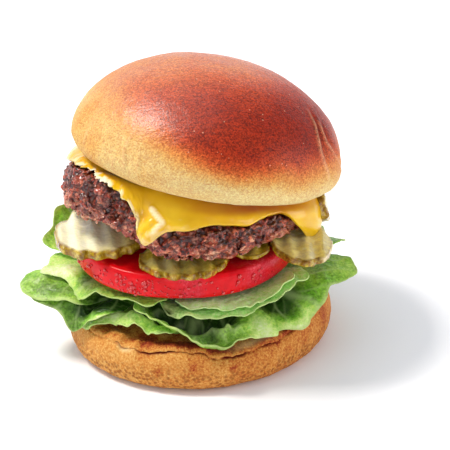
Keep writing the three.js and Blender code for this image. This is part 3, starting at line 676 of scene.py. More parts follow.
def pickle_slice(spec, seed):
    """A slice spun with a radius of 1, drawn out to its oval, waved by the cutter and laid in place."""
    (wide, deep), half = spec["radius"], spec["thick"] / 2
    edge = half / max(wide, deep)
    side = rounded_edge(1, edge, half, 22, 0.7, 0.7)
    under = [(r, -half) for r in np.linspace(0, side[0][0], 34)[:-1]]
    over = [(r, half) for r in np.linspace(side[-1][0], 0, 34)[1:]]
    piece = spun(spec["name"] + "_slice", [*under, *side, *over], 220)
    spots = points_of(piece)
    r, azimuth = np.hypot(spots[:, 0], spots[:, 1]), np.arctan2(spots[:, 1], spots[:, 0])
    x, y = spots[:, 0] * wide, spots[:, 1] * deep
    wave = np.sin(2 * np.pi * x / RIDGE_PITCH)
    lobes = 1 + 0.02 * np.sin(azimuth * 3 + seed) + 0.012 * np.sin(azimuth * 7 + 2 * seed)
    scallop = spec["scallop"] * wave * ease((r - 0.7) / 0.3) * ease(np.abs(y) / deep * 3)
    x, y = x * lobes, y * lobes + scallop * np.sign(y)
    z = spots[:, 2] + spec["ridge"] * wave
    turn = math.radians(spec.get("cut", 0))
    c, s = math.cos(turn), math.sin(turn)
    spots = np.column_stack([x * c - y * s, x * s + y * c, z])
    put_points(piece, spots)
    skin = ease((r - (1 - 1.1 * edge)) / (0.9 * edge))
    wart = bell(grains(spots + [90, 0, 0], WARTS, seed)[0], 0.36)
    seeds = bell(grains(spots * [1, 1, 0.2], SEEDS, seed + 3)[0], 0.33) * bell(r - 0.42, 0.2)
    raise_skin(piece, 0.1 * rough(spots, 3.5, seed + 1) + 0.5 * wart * skin - 0.12 * seeds)
    # pale flesh, its whitest part a painted highlight that gives way towards the right
    pale = spec["pale"] * (0.7 + 0.3 * bell(r, 0.6)) + 0.15 * noise(spots, 6, seed + 5)
    pale = pale - spec.get("fade", 0) * ease((x / wide + 0.55) / 1.2)
    # paler on one side of the skin: whitish scars with a painted rim highlight
    scars = ease(2 * np.cos(azimuth) - 0.5 + 0.9 * noise(spots, 3, seed + 6))
    paint(piece, skin=skin, wart=wart * skin, seeds=seeds, pale=pale,
          scarred=spec.get("scarred", 0) * skin * scars)
    settle(piece, spec["at"], spec["tip"][1], spec["tip"][0])
    return piece


# Pickled cucumber: soaked through, so it is glassy under a wet gloss; the skin is olive and warty.
pickle_flesh, tree, shader = material("pickle_flesh", Roughness=0.2, IOR=1.38, Specular_IOR_Level=0.35,
                                      Subsurface_Weight=0.35, Subsurface_Scale=2.0 * MM,
                                      Subsurface_Radius=(1.0, 0.9, 0.3), Coat_Weight=0.5,
                                      Coat_Roughness=0.06)
where = node(tree, "TexCoord").outputs["Object"]
cloudy = node(tree, "TexNoise", {"Vector": where, "Scale": per(2.6), "Detail": 4, "Roughness": 0.68})
flesh = node(tree, "ValToRGB", {"Fac": cloudy}, ramp=[(0.3, "#AC9210"), (0.5, "#D2BA2A"), (0.7, "#EADC64")])
# pale flesh, whitest where it stands in as a painted highlight
middle = node(tree, "MixRGB", {"Fac": "pale", "Color1": flesh, "Color2": "#FAFFE4"})
seeded = node(tree, "MixRGB", {"Fac": ["seeds", 0.6], "Color1": middle, "Color2": "#E9E6B8"})
mottle = node(tree, "ValToRGB", {"Fac": cloudy}, ramp=[
    (0.34, "#643E08"), (0.46, "#966C12"), (0.56, "#B0921E"), (0.68, "#D2BC4A")])
# whitish scars with a painted rim highlight
rind = node(tree, "MixRGB", {"Fac": "scarred", "Color1": mottle, "Color2": "#D8C694"})
skinned = node(tree, "MixRGB", {"Fac": "skin", "Color1": seeded, "Color2": rind})
warty = node(tree, "MixRGB", {"Fac": ["wart", 0.6], "Color1": skinned, "Color2": "#5A4413"})
wet = node(tree, "TexNoise", {"Vector": where, "Scale": per(1.3), "Detail": 3})
relief = node(tree, "Bump", {"Height": wet, "Strength": 0.6, "Distance": 0.35 * MM})
feed(shader, {"Base Color": warty, "Normal": relief})
for number, spec in enumerate(PICKLES):
    dress(pickle_slice(spec, 41 + number), pickle_flesh, "pickle_flesh", spec["name"])

# ------------------------------------------------------------------ the patty
# Coarse minced beef pressed by hand and seared hard: a craggy disc of short strands, dark where it
# browned, greyer low down. Strands are scattered over a core and the two grown into one skin.

# The crown leans `right` and `back` degrees; its cut face is the roof that the patty and cheese end under.
CROWN = {"centre": (4.2, -0.15, 69.3), "right": 12.57, "back": -6.27,
         "radius": 51, "height": 40.8, "base": 40.6, "widest": 7.8, "shoulder": 1.83, "round": 2.07,
         "foot_steps": 15, "steps": 560}
# The slice is lifted off the patty's core by its strands, sinks in between them, and is lacy at `lace`.
CHEESE = {"thick": 2.8, "lift": 1.75, "sink": 0.35, "lace": -138}
# Air between the top of the cheese and the crown.
GAP = 0.35
PATTY = {"centre": (-4, 0), "radius": 45.2, "flat": 0.74, "bulge": 0.8, "under": 53.2, "lowest": 47.2,
         "steps": 160}
# The strands that are scattered, and the sizes of the grains and pressed clods that show in the meat.
MINCE = {"strands": 3600, "grain": 1.9, "clod": 5.4, "burnt": 4.4}
# Heights of the patty's rim: [azimuth, top, bottom]. Its left front curls up in one thick lobe.
RIM = [[-180, 71.5, 55.5], [-150, 78.5, 59.5], [-132, 80.2, 61], [-119, 76.5, 58.4], [-110, 69, 54.8],
       [-98, 64.6, 52], [-87, 63.4, 50.8], [-61, 62, 49.2], [-36, 60.4, 48.6], [0, 57.6, 48],
       [45, 56.5, 47.4], [90, 61, 47.4], [135, 68.5, 51]]


def crown_face(x, y):
    """Height of the crown's cut face over a point of the stack."""
    tilt = Matrix.Rotation(math.radians(CROWN["right"]), 3, "Y") @ Matrix.Rotation(
        math.radians(CROWN["back"]), 3, "X")
    axis = tilt @ Vector((0, 0, 1))
    cx, cy, cz = CROWN["centre"]
    return cz - (axis.x * (x - cx) + axis.y * (y - cy)) / axis.z


def patty_faces(x, y, azimuth, reach):
    """Heights of the patty's under and upper faces at a place that is `reach` of the way out."""
    rim_top, rim_bottom = round_values(RIM, azimuth)
    upper, lower = ease((reach - 0.78) * 4.5), ease((reach - 0.5) * 2.2)
    under = np.maximum(PATTY["under"] - 0.13 * x - 0.08 * (y + 20), PATTY["lowest"])
    over = crown_face(x, y) - CHEESE["thick"] - CHEESE["lift"] - GAP
    return under * (1 - lower) + rim_bottom * lower, over * (1 - upper) + rim_top * upper


def patty_radius(azimuth):
    """How far out its rim is: pressed by hand, so out of round."""
    turn = np.radians(azimuth)
    return (PATTY["radius"] + 0.9 * np.sin(3 * turn + 0.6) + 0.7 * np.sin(5 * turn + 2.1)
            - 2.4 * facing(azimuth, -110, 7) - 1.2 * facing(azimuth, -45, 8)
            + 2.6 * facing(azimuth, -8, 20))


def patty_points(reach, azimuth, height):
    """The patty's skin: `reach` is 0 on the axis and 1 at the rim, `height` 0 to 1."""
    turn = np.radians(azimuth)
    r = reach * patty_radius(azimuth)
    x, y = PATTY["centre"][0] + r * np.cos(turn), PATTY["centre"][1] + r * np.sin(turn)
    under, over = patty_faces(x, y, azimuth, reach)
    return np.column_stack([x, y, under * (1 - height) + over * height])


def patty_section(angle):
    """Outline of its section at an angle from -90 (under) to 90 (over) round its side."""
    angle = np.radians(angle)
    out = np.maximum(np.cos(angle), 0) ** PATTY["bulge"]
    up = np.sign(angle) * np.abs(np.sin(angle)) ** PATTY["bulge"]
    return PATTY["flat"] + (1 - PATTY["flat"]) * out, 0.5 + 0.5 * up


def repeat(piece, points):
    """Turns a small mesh into many copies of itself, given the points of every copy."""
    faces = np.array([face.vertices[:] for face in piece.data.polygons])
    copies, corners, _ = points.shape
    faces = faces[None] + (np.arange(copies) * corners)[:, None, None]
    piece.data.clear_geometry()
    piece.data.from_pydata((points.reshape(-1, 3) * MM).tolist(), [], faces.reshape(-1, 3).tolist())
    return piece


def out_and_side(turn):
    """For each angle round the stack, the level directions outward and along the side."""
    c, s = np.cos(turn), np.sin(turn)
    return np.column_stack([c, s, 0 * turn]), np.column_stack([-s, c, 0 * turn])


def mince_strands(count, seed):
    """Copies of one short strand laid along the patty's side and rim, as one loose mesh."""
    strand = blank("mince_strand", bpy.ops.mesh.primitive_ico_sphere_add, subdivisions=2, radius=MM)
    draw = np.random.default_rng(seed)
    azimuth, angle = draw.uniform(-180, 180, count), draw.uniform(-58, 84, count)
    reach, height = patty_section(angle)
    reach = reach * draw.uniform(0.955, 1.008, count) - 0.02 * ease((angle - 30) / 40)
    at = patty_points(reach, azimuth, height)
    sizes = 0.6 + 0.7 * draw.random((count, 1)) ** 2
    sizes = sizes * draw.uniform([1.2, 0.8, 0.8], [3.0, 1.3, 1.2], (count, 3))
    # each lies along the side, level in front and sloping down on the left lobe
    out, side = out_and_side(np.radians(azimuth))
    slope = np.radians(draw.normal(10, 30, count) - 50 * ease((-104 - azimuth) / 16))
    poke = np.radians(draw.normal(0, 16, count))
    long = (side * np.cos(slope)[:, None] + [0, 0, 1] * np.sin(slope)[:, None]) * np.cos(poke)[:, None]
    long = long + out * np.sin(poke)[:, None]
    flat = out - long * np.sum(out * long, axis=1)[:, None]
    flat = flat / np.linalg.norm(flat, axis=1)[:, None]
    spin = np.stack([long, flat, np.cross(long, flat)], axis=2)
    return repeat(strand, np.einsum("cij,cvj->cvi", spin, points_of(strand) * sizes[:, None]) + at[:, None])


outline = [(0, 0), *((reach, 0) for reach in np.linspace(0.1, 0.7, 8)),
           *zip(*patty_section(np.linspace(-90, 90, 26))),
           *((reach, 1) for reach in np.linspace(0.7, 0.1, 8)), (0, 1)]
beef = spun("beef_patty", outline, PATTY["steps"])
spots = points_of(beef)
reach, azimuth = polar(spots)
core = patty_points(reach * 0.98, azimuth, 0.03 + 0.94 * spots[:, 2])
put_points(beef, core)
raise_skin(beef, 1.1 * rough(core, 6, 51) - 0.5)
pick(beef, mince_strands(MINCE["strands"], 52))
bpy.ops.object.join()
voxel = 0.53
finish_with(beef, "REMESH", mode="VOXEL", voxel_size=voxel * MM, use_smooth_shade=True)
# a split in its side in front, and a slanting one where the left lobe begins
spots = points_of(beef)
out, azimuth = polar(spots - [*PATTY["centre"], 0])
around = np.column_stack([azimuth * 0.8, 0 * out, 0 * out])
reach = np.clip(out / patty_radius(azimuth), 0, 1)
under, over = patty_faces(spots[:, 0], spots[:, 1], azimuth, reach)
height = (spots[:, 2] - under) / (over - under)
groove = 0.8 * bell(height - 0.27 - 0.08 * noise(around, 11, 59), 0.075) * facing(azimuth, -90, 13)
slanting = bell(azimuth + 128 - 22 * (height - 0.5), 2.2)
groove = groove + 0.6 * slanting * ease(height * 3) * ease((1 - height) * 3)
raise_skin(beef, -1.9 * groove)
# the mince itself: grains and their seams, pits, and the bigger clods that it was pressed from
spots = points_of(beef)
d = grains(spots, MINCE["grain"], 54)
seam = 1 - ease((d[1] - d[0]) / 0.2)
pits = rough(spots, 3.2, 55)
clod = grains(spots * [1, 1, 1.3] + 1.6 * noise(spots, 3, 61)[:, None], MINCE["clod"], 56)
crevice = 1 - ease((clod[1] - clod[0]) / 0.15)
raise_skin(beef, 0.25 * (0.55 - d[0]) - 0.2 * seam + 0.4 * pits + 0.12 * noise(spots, 0.95, 57)
           + 0.9 * (0.5 - clod[0]) - 0.8 * crevice)
reach = polar(spots - [*PATTY["centre"], 0])[0] / patty_radius(azimuth)
deep = ease((1.0 - reach) * 9) * ease(height * 5) * ease((1.05 - height) * 5)
sear = ease((height - 0.25) / 0.5) + 0.5 * noise(spots, 5, 58)
burnt = bell(grains(spots, MINCE["burnt"], 60)[0], 0.24) * (height < 0.85)
burnt = burnt * (0.25 + facing(azimuth, -62, 28))
# painted shade deep in behind the rim and in the pits, the groove, seams and crevices, with the burnt specks
hollow = np.max([deep, 0.6 * ease(-pits * 1.6), 0.8 * groove, 0.3 * seam, 0.9 * crevice, 1.3 * burnt],
                axis=0)
# paler gristle and a painted highlight on every grain's crown
paint(beef, sear=0.5 * sear + 0.2, hollow=hollow, gristle=bell(d[0], 0.3))

# Seared beef: browned crust over greyer meat, every strand glazed with hot fat, burnt specks.
seared_beef, tree, shader = material("seared_beef", IOR=1.42, Specular_IOR_Level=0.15, Coat_Weight=0.8,
                                     Coat_Roughness=0.12)
where = node(tree, "TexCoord").outputs["Object"]
patches = node(tree, "TexNoise", {"Vector": where, "Scale": per(2.6), "Detail": 6, "Roughness": 0.75,
                                  "Distortion": 1.2})
nuggets = node(tree, "TexVoronoi", {"Vector": where, "Scale": per(2.3)})
each = node(tree, "SeparateXYZ", {0: nuggets.outputs["Color"]})
uneven = node(tree, "Math", {0: each, 1: 0.4, 2: patches}, operation="MULTIPLY_ADD")
seared = node(tree, "Math", {0: "sear", 1: 0.6, 2: -0.85}, operation="MULTIPLY_ADD")
browned = node(tree, "Math", {0: uneven, 1: 1.7, 2: seared}, operation="MULTIPLY_ADD")
meat = node(tree, "ValToRGB", {"Fac": browned}, ramp=[
    (0.06, "#ECB490"), (0.26, "#D47C5C"), (0.48, "#B44A34"), (0.7, "#822818"), (0.92, "#3E0F0A")])
pepper = node(tree, "TexVoronoi", {"Vector": where, "Scale": per(3.2)})
peppered = node(tree, "Math", {0: pepper, 1: 0.19}, operation="LESS_THAN")
# painted shade in the hollows, with the burnt specks; paler gristle with a painted highlight on the
# grains' crowns; and specks of burnt pepper
for share, colour in ((["hollow", 0.8], "#300A08"), (["gristle", 0.5], "#DC8C6A"),
                      ([peppered, 0.85], "#120B0A")):
    meat = node(tree, "MixRGB", {"Fac": share, "Color1": meat, "Color2": colour})
sizzle = node(tree, "TexNoise", {"Vector": where, "Scale": per(0.9), "Detail": 2, "Roughness": 0.7})
spread = node(tree, "MapRange", {"Value": sizzle, "From Min": 0.34, "From Max": 0.66})
charred = node(tree, "MixRGB", {"Fac": 0.5, "Color1": meat, "Color2": spread}, blend_type="OVERLAY")
fat = node(tree, "MapRange", {"Value": patches, "From Min": 0.35, "From Max": 0.65, "To Min": 0.22,
                              "To Max": 0.5})
fibre = node(tree, "TexNoise", {"Vector": where, "Scale": per(0.55), "Detail": 3, "Roughness": 0.65})
relief = node(tree, "Bump", {"Height": fibre, "Strength": 1.0, "Distance": 0.4 * MM})
feed(shader, {"Base Color": charred, "Roughness": fat, "Normal": relief})
dress(beef, seared_beef, "seared_beef", "patty")

# ------------------------------------------------------------------ the cheese
# A square slice of processed cheese, melted over the patty: it has slumped into every hollow, hangs
# in drips at its corners and has browned to a thin pale lace where it met the pan.

# The slice's edge, by its distance over the patty from the middle: [azimuth, distance].
MELT = [[-180, 41.2], [-168, 40], [-157, 40.4], [-146, 41.6], [-131, 44], [-125, 43.8], [-119.5, 43.5],
        [-116, 44], [-113, 45], [-111, 47.6], [-108, 50.4], [-105, 51.9], [-101.5, 51], [-98.5, 49.1],
        [-95, 47.9], [-86, 46.9], [-80, 45.3], [-75, 44.5], [-66, 44.4], [-58, 44.6], [-53, 43.4],
        [-48, 42.3], [-41, 42.3], [-35, 43.6], [-31, 46.8], [-28, 49.4], [-24, 51.8], [-19, 53.6],
        [-14, 54.6], [-9, 54.4], [-4, 52], [4, 47.5], [20, 44.5], [42, 44.5], [58, 48], [70, 52],
        [80, 48.5], [98, 44.5], [122, 43.5], [146, 44.2], [158, 44.6], [170, 43.6]]
# The folds on the front drip: [one end, the other, height, width]. The first three follow one line.
FOLDS = [[(-13.6, -40.6, 70.6), (-10.4, -44.2, 66.9), 1.0, 0.8],
         [(-10.4, -44.2, 66.9), (-13.6, -45.5, 64.2), 0.9, 0.8],
         [(-13.6, -45.5, 64.2), (-17.4, -44.6, 60.9), 0.8, 0.8],
         [(-14.2, -43.2, 66.9), (-17.8, -43.7, 63.7), 0.6, 0.7]]
# Hollows where the slice sank: [place, width, depth]. The first also gets painted shade.
DENTS = [[(-17.3, -41.1, 68.5), 2.6, 1.2], [(-2, -44, 69.5), 4.5, 0.7], [(16, -40, 67), 4, 0.4],
         [(36, -28, 62), 3, 0.5]]


def draped(azimuth, distance):
    """Points of the patty's skin at distances from its middle, over the rim and down the side."""
    reach, height = patty_section(np.arange(90, -31, -6.0))
    reach, height = np.concatenate([[0, 0.35, 0.6], reach]), np.concatenate([[1, 1, 1], height])
    lines, count = len(azimuth), len(reach)
    path = patty_points(np.tile(reach, lines), np.repeat(azimuth, count), np.tile(height, lines))
    path = path.reshape(-1, count, 3)
    steps = np.linalg.norm(np.diff(path, axis=1), axis=2)
    run = np.concatenate([np.zeros((lines, 1)), np.cumsum(steps, axis=1)], axis=1)
    return np.array([[np.interp(distance[i], run[i], path[i, :, k]) for k in range(3)]
                     for i in range(lines)]).transpose(0, 2, 1)


columns, rows = 560, 64
slice_ = blank("cheese_slice", bpy.ops.mesh.primitive_grid_add, size=1000 * MM, x_subdivisions=columns,
               y_subdivisions=rows)
flat = points_of(slice_) / 1000 + 0.5
column, row = np.rint(flat[:, 0] * columns).astype(int), np.rint(flat[:, 1] * rows).astype(int)
turn = np.linspace(0, 360, columns + 1)
ring = placed(1, turn, 0) * 45
# the edge is uneven all round, and ragged at the left, where it browned to lace
lacy = facing(turn, CHEESE["lace"], 26)
lace = 1.2 * noise(ring, 2.2, 61) + 1.0 * noise(ring, 1.0, 62)
reach_out = round_values(MELT, turn)[0]
share = np.linspace(0, 1, rows + 1) ** 0.62
grid = draped(turn, 1.0 + (reach_out[:, None] - 1.0) * share[None])
# melted cheese bridges small hollows, so the sheet is smoothed across and around
for _ in range(3):
    around = np.gradient(np.concatenate([grid[-2:-1], grid, grid[1:2]]), axis=0)[1:-1]
    outward = np.gradient(grid, axis=1)
    grid[:, 1:-1] = (2 * grid[:, 1:-1] + grid[:, 2:] + grid[:, :-2]) / 4
    loop = np.concatenate([grid[-2:-1], grid, grid[1:2]])
    grid = (2 * loop[1:-1] + loop[2:] + loop[:-2]) / 4
normal = np.cross(outward, around)
normal = normal / np.maximum(np.linalg.norm(normal, axis=2), 1e-9)[..., None]
normal[..., 2] = np.where(share[None] < 0.1, 1, normal[..., 2])
grid = grid + normal * (CHEESE["thick"] / 2 + CHEESE["lift"] - CHEESE["sink"])
teeth = (lace * (0.1 + 1.1 * lacy))[:, None] * ease((share - 0.9) / 0.1)[None]
outward = outward / np.maximum(np.linalg.norm(outward, axis=2), 1e-9)[..., None]
grid = grid + outward * teeth[..., None]
put_points(slice_, grid[column, row])
spots = points_of(slice_)
edge = share[row]
azimuth = turn[column]


def ridge(points, start, end, width):
    """1 along the line between two points, fading over `width` to its sides."""
    start, end = np.array(start, float), np.array(end, float)
    along = np.clip(((points - start) @ (end - start)) / ((end - start) @ (end - start)), 0, 1)
    return bell(np.linalg.norm(points - start - along[:, None] * (end - start), axis=1), width)


fold = np.max([high * ridge(spots, start, end, wide) for start, end, high, wide in FOLDS], axis=0)
dented = sum(deep * bell(np.linalg.norm(spots - place, axis=1), wide) for place, wide, deep in DENTS)
slump = 0.3 * rough(spots, 12, 63) + 0.08 * noise(spots, 3.5, 64)
slump = slump + 0.3 * facing(azimuth, -15, 12) * ease((edge - 0.5) / 0.25)
left = facing(azimuth, CHEESE["lace"], 30)
flaky = left * ease((edge - 0.9) / 0.08)
flakes = flaky * (0.9 * np.abs(noise(spots, 1.5, 65)) + 0.6 * noise(spots, 2.8, 66))
raised = slump * ease(edge * 2) + 1.1 * fold - dented + flakes - 0.3 * ease((edge - 0.95) / 0.05)
raise_skin(slice_, -raised)  # the grid faces down
sag = 5.6 * facing(azimuth, -12, 8.5) * ease((edge - 0.86) / 0.14)
put_points(slice_, points_of(slice_) - sag[:, None] * [0, 0.1, 1])
crisp = left * ease((edge - 0.968 + 0.06 * noise(spots, 2.2, 67) + 0.04 * noise(spots, 0.9, 68)) / 0.014)
# painted highlight along the tops of the folds, added to the pale lace
crisp = np.maximum(crisp, 0.75 * ease(2.2 * fold - 1.1))
# painted shade where the bun's rounded foot lies close over it, and in the first dent
crown_out, _ = polar(spots - CROWN["centre"])
past_foot = np.clip((crown_out - CROWN["base"]) / (CROWN["radius"] - CROWN["base"]), 0, 1)
gap = crown_face(spots[:, 0], spots[:, 1]) - spots[:, 2]
gap = gap + CROWN["widest"] * (1 - np.sqrt(1 - past_foot**2))
under_bun = (1 - ease((gap - 4.6) / 2.4)) * (0.05 + 0.85 * facing(azimuth, -50, 35))
under_bun = under_bun + 0.35 * bell(np.linalg.norm(spots - DENTS[0][0], axis=1), 2.4)
paint(slice_, crisp=crisp, under_bun=under_bun,
      body=1 - 0.7 * left * ease((edge - 0.86) / 0.12) - 0.25 * ease((edge - 0.93) / 0.07))
bpy.ops.object.mode_set(mode="EDIT")
bpy.ops.mesh.select_all(action="SELECT")
bpy.ops.mesh.remove_doubles(threshold=0.02 * MM)
bpy.ops.object.mode_set(mode="OBJECT")
# the sheet's thickness follows its body, in tenths
thin = slice_.vertex_groups.new(name="body")
body = np.empty(len(slice_.data.vertices), np.float32)
slice_.data.attributes["body"].data.foreach_get("value", body)
for step in range(11):
    thin.add(np.flatnonzero(np.rint(body * 10) == step).tolist(), step / 10, "REPLACE")
finish_with(slice_, "SOLIDIFY", thickness=CHEESE["thick"] * 0.75 * MM, offset=0, vertex_group="body")

# Processed cheese, melted: a smooth, dense, oily gloss over deep yellow that glows at thin edges.
melted_cheese, tree, shader = material("melted_cheese", Roughness=0.28, IOR=1.44, Specular_IOR_Level=0.3,
                                       Subsurface_Weight=0.2, Subsurface_Scale=1.6 * MM,
                                       Subsurface_Radius=(1.0, 0.6, 0.12), Coat_Weight=0.4,
                                       Coat_Roughness=0.1)
where = node(tree, "TexCoord").outputs["Object"]
cloudy = node(tree, "TexNoise", {"Vector": where, "Scale": per(9), "Detail": 3})
smooth = node(tree, "ValToRGB", {"Fac": cloudy}, ramp=[(0.3, "#DDAA08"), (0.55, "#E6BA12"), (0.8, "#ECC624")])
# pale lace at the left edge, and a painted highlight along the tops of the folds
laced = node(tree, "MixRGB", {"Fac": "crisp", "Color1": smooth, "Color2": "#FBF2CF"})
# painted shade under the bun
buttered = node(tree, "MixRGB", {"Fac": "under_bun", "Color1": laced, "Color2": "#9C3A14"})
oily = node(tree, "TexNoise", {"Vector": where, "Scale": per(2.6), "Detail": 2})
relief = node(tree, "Bump", {"Height": oily, "Strength": 0.2, "Distance": 0.25 * MM})
feed(shader, {"Base Color": buttered, "Normal": relief})
dress(slice_, melted_cheese, "melted_cheese", "cheese")

# ------------------------------------------------------------------ the crown
# The top half of the brioche bun, brushed with egg and baked to a deep brown gloss over the dome,
# pale where it touched its neighbours. It is one turned body that leans to the back right.

# The browning: [azimuth, way up the skin where it starts, how far it takes to deepen, how deep it gets,
# how brown the pale band below is].
BROWNING = [[-180, 16, 26, 0.42, 0.16], [-165, 15.5, 28, 0.47, 0.22], [-150, 15, 30, 0.52, 0.2],
            [-135, 15, 30, 0.58, 0.09], [-120, 13, 28, 0.7, 0.13], [-105, 12, 22, 0.84, 0.1],
            [-90, 11, 18, 0.94, 0.03], [-75, 12, 15, 0.98, 0], [-60, 10, 22, 1.0, 0],
            [-45, 9.5, 24, 1.06, 0], [-30, 9.5, 27, 1.04, 0], [-15, 4, 36, 1.0, 0],
            [5, 5, 34, 0.85, 0.05], [60, 12, 20, 0.72, 0.1], [120, 14, 22, 0.55, 0.12]]
APEX = {"from": 40, "over": 34, "brown": 0.52}
# Where the egg wash was laid on thickest, or the crust browned in a patch: [azimuth, way up the skin,
# width in millimetres, egg wash, browning].
WASH = [[-131, 33, 17, 0.8, 0], [-150, 44, 14, 0.8, 0], [-105, 40, 12, 0.8, 0], [-131, 35, 12, 0, 0.12]]
# Creases in the crust: [width in degrees, depth, [height, azimuth] along it...].
CREASES = [[2.0, 0.55, [9, -29], [12, -30], [16, -32], [20, -32], [24, -30], [27, -26], [32, -20]],
           [1.8, 0.4, [8, -9], [12, -14], [17, -20], [22, -24], [25, -22], [29, -18]],
           [0.9, 0.32, [5, -124], [9, -125], [15, -127], [19, -126]],
           [0.8, 0.25, [4, -118], [10, -119], [17, -121]], [0.8, 0.25, [2, -130], [6, -131], [11, -130]],
           [1.4, 0.5, [6, -152], [10, -151], [15, -150]], [0.7, 0.3, [3, -139], [9, -139]],
           [0.7, 0.4, [1, -104], [6, -104]], [0.6, 0.25, [3, -96], [9, -97]], [0.6, 0.25, [2, -78], [7, -78]],
           [0.6, 0.25, [2, -62], [8, -62]], [0.9, 0.3, [4, 40], [10, 42], [16, 41]],
           [0.9, 0.3, [5, 95], [12, 96], [18, 95]], [0.9, 0.3, [5, 150], [15, 149]]]


def crown_outline():
    """Half of its section: the flat cut face, the rounded foot and the dome."""
    base, radius = CROWN["base"], CROWN["radius"]
    widest, height = CROWN["widest"], CROWN["height"]
    foot = [(r, 0) for r in np.linspace(0, base, CROWN["foot_steps"] + 1)]
    points = [(base, 0)]
    points += [(base + (radius - base) * math.sin(a), widest * (1 - math.cos(a)))
               for a in np.linspace(0, math.pi / 2, 30)[1:]]
    points += [(radius * (1 - t ** CROWN["shoulder"]) ** (1 / CROWN["round"]),
                widest + (height - widest) * t) for t in (1 - np.linspace(1, 0, 80) ** 2)[1:]]
    return [*foot[:-1], *map(tuple, evenly(points, 148))]


crown = spun("crown", crown_outline(), CROWN["steps"])
spots = points_of(crown)
(r, azimuth), z = polar(spots), spots[:, 2]
skin = np.array(crown_outline()[CROWN["foot_steps"]:])
way_up = np.interp(np.arctan2(z, r), np.arctan2(skin[:, 1], skin[:, 0]), run_along(skin))
low = ease((z - 1) / 6) * (1 - ease((z - 14) / 14))
crease = (1.1 * facing(azimuth, -4, 7) + 0.8 * facing(azimuth, 20, 6)
          + 1.2 * facing(azimuth, -158, 6)) * low
swell = 1 + 0.005 * np.sin(np.radians(azimuth) * 3 + 1.1) - crease / np.maximum(r, 1)
put_points(crown, spots * np.column_stack([swell, swell, np.ones(len(swell))]))
spots = points_of(crown)
# each crease is a groove with a raised lip on one side of it, painted paler as a highlight
creased, stretched = 0, 0
for wide, deep, *path in CREASES:
    highs, turns = np.array(path, float).T
    off = turn_between(azimuth, np.interp(z, highs, turns)) + 0.5 * noise(spots, 3, 77)
    along = ease((z - highs[0]) / 2.5) * (1 - ease((z - highs[-1] + 4) / 4))
    creased = creased + deep * along * (bell(off, wide) - 0.8 * bell(off + 1.6 * wide, wide))
    stretched = stretched + min(deep / 0.4, 1) * along * bell(off + 1.6 * wide, 0.7 * wide)
band = ease((z - 0.5) / 3) * (1 - ease((z - 10) / 9))
wrinkle = rough(np.column_stack([azimuth * 0.9, r * 0, z * 0.35]), 2.2, 71)
on_crust = ease((z - 0.2) / 1.2)
skin_lumps = 0.2 * rough(spots, 16, 72) + 0.06 * noise(spots, 2.2, 73) + 0.13 * band * wrinkle
raise_skin(crown, on_crust * (skin_lumps - creased) + (1 - on_crust) * 0.12 * rough(spots, 2.5, 74))
# it browns from a line low on its side upwards, less at the very top, where the paler crust is partly a
# painted sheen, over a pale band at the foot
start, deepens, deepest, least = round_values(BROWNING, azimuth)
risen = ease((way_up - start + 1.1 * rough(spots, 9, 75)) / deepens)
apex = ease((way_up - APEX["from"]) / APEX["over"])
browned = np.maximum(least * (1 + 0.4 * noise(spots, 7, 76)),
                     risen * (deepest * (1 - apex) + APEX["brown"] * apex))
wash = 0.3 + 0.45 * ease((way_up - 48) / 22)
for at, way, wide, brush, brown in WASH:
    place = bell(np.hypot(turn_between(azimuth, at) * np.radians(1) * r, way_up - way), wide)
    wash = wash + brush * place
    browned = browned + brown * place
paint(crown, glazed=0.8 * browned, crust=on_crust, shine=risen, stretched=stretched, wash=wash * risen**0.3)

# Egg-glazed crust: thin, tight and brown with a varnished sheen broken up by fine blisters.
glazed_crust, tree, shader = material("glazed_crust", IOR=1.4, Specular_IOR_Level=0.06, Coat_Roughness=0.27)
where = node(tree, "TexCoord").outputs["Object"]
clouds = node(tree, "TexNoise", {"Vector": where, "Scale": per(9), "Detail": 4, "Roughness": 0.6})
speckle = node(tree, "TexNoise", {"Vector": where, "Scale": per(0.5), "Detail": 2, "Roughness": 0.7})
tone = node(tree, "Math", {0: clouds, 1: 0.16, 2: "glazed"}, operation="MULTIPLY_ADD")
fine = node(tree, "Math", {0: speckle, 1: 0.36, 2: tone}, operation="MULTIPLY_ADD")
level = node(tree, "Math", {0: fine, 1: -0.16}, operation="ADD")
brown = node(tree, "ValToRGB", {"Fac": level}, ramp=[
    (0.06, "#DDC98F"), (0.26, "#D5A55F"), (0.4, "#D38A44"), (0.54, "#C2602A"), (0.68, "#AC401A"),
    (0.82, "#942B0E"), (0.96, "#7E1C08")])
# painted highlight along the creases' raised lips
marked = node(tree, "MixRGB", {"Fac": ["stretched", 0.42], "Color1": brown, "Color2": "#E2AC7C"})
dust = node(tree, "TexVoronoi", {"Vector": where, "Scale": per(0.46)})
speck = node(tree, "SeparateXYZ", {0: dust.outputs["Color"]})
tint = node(tree, "MapRange", {"Value": speck, "To Min": 0.1, "To Max": 0.94})
dusty = node(tree, "MapRange", {"Value": "glazed", "From Max": 0.8, "To Min": 0.3, "To Max": 0.7})
grainy = node(tree, "MixRGB", {"Fac": dusty, "Color1": marked, "Color2": tint}, blend_type="OVERLAY")
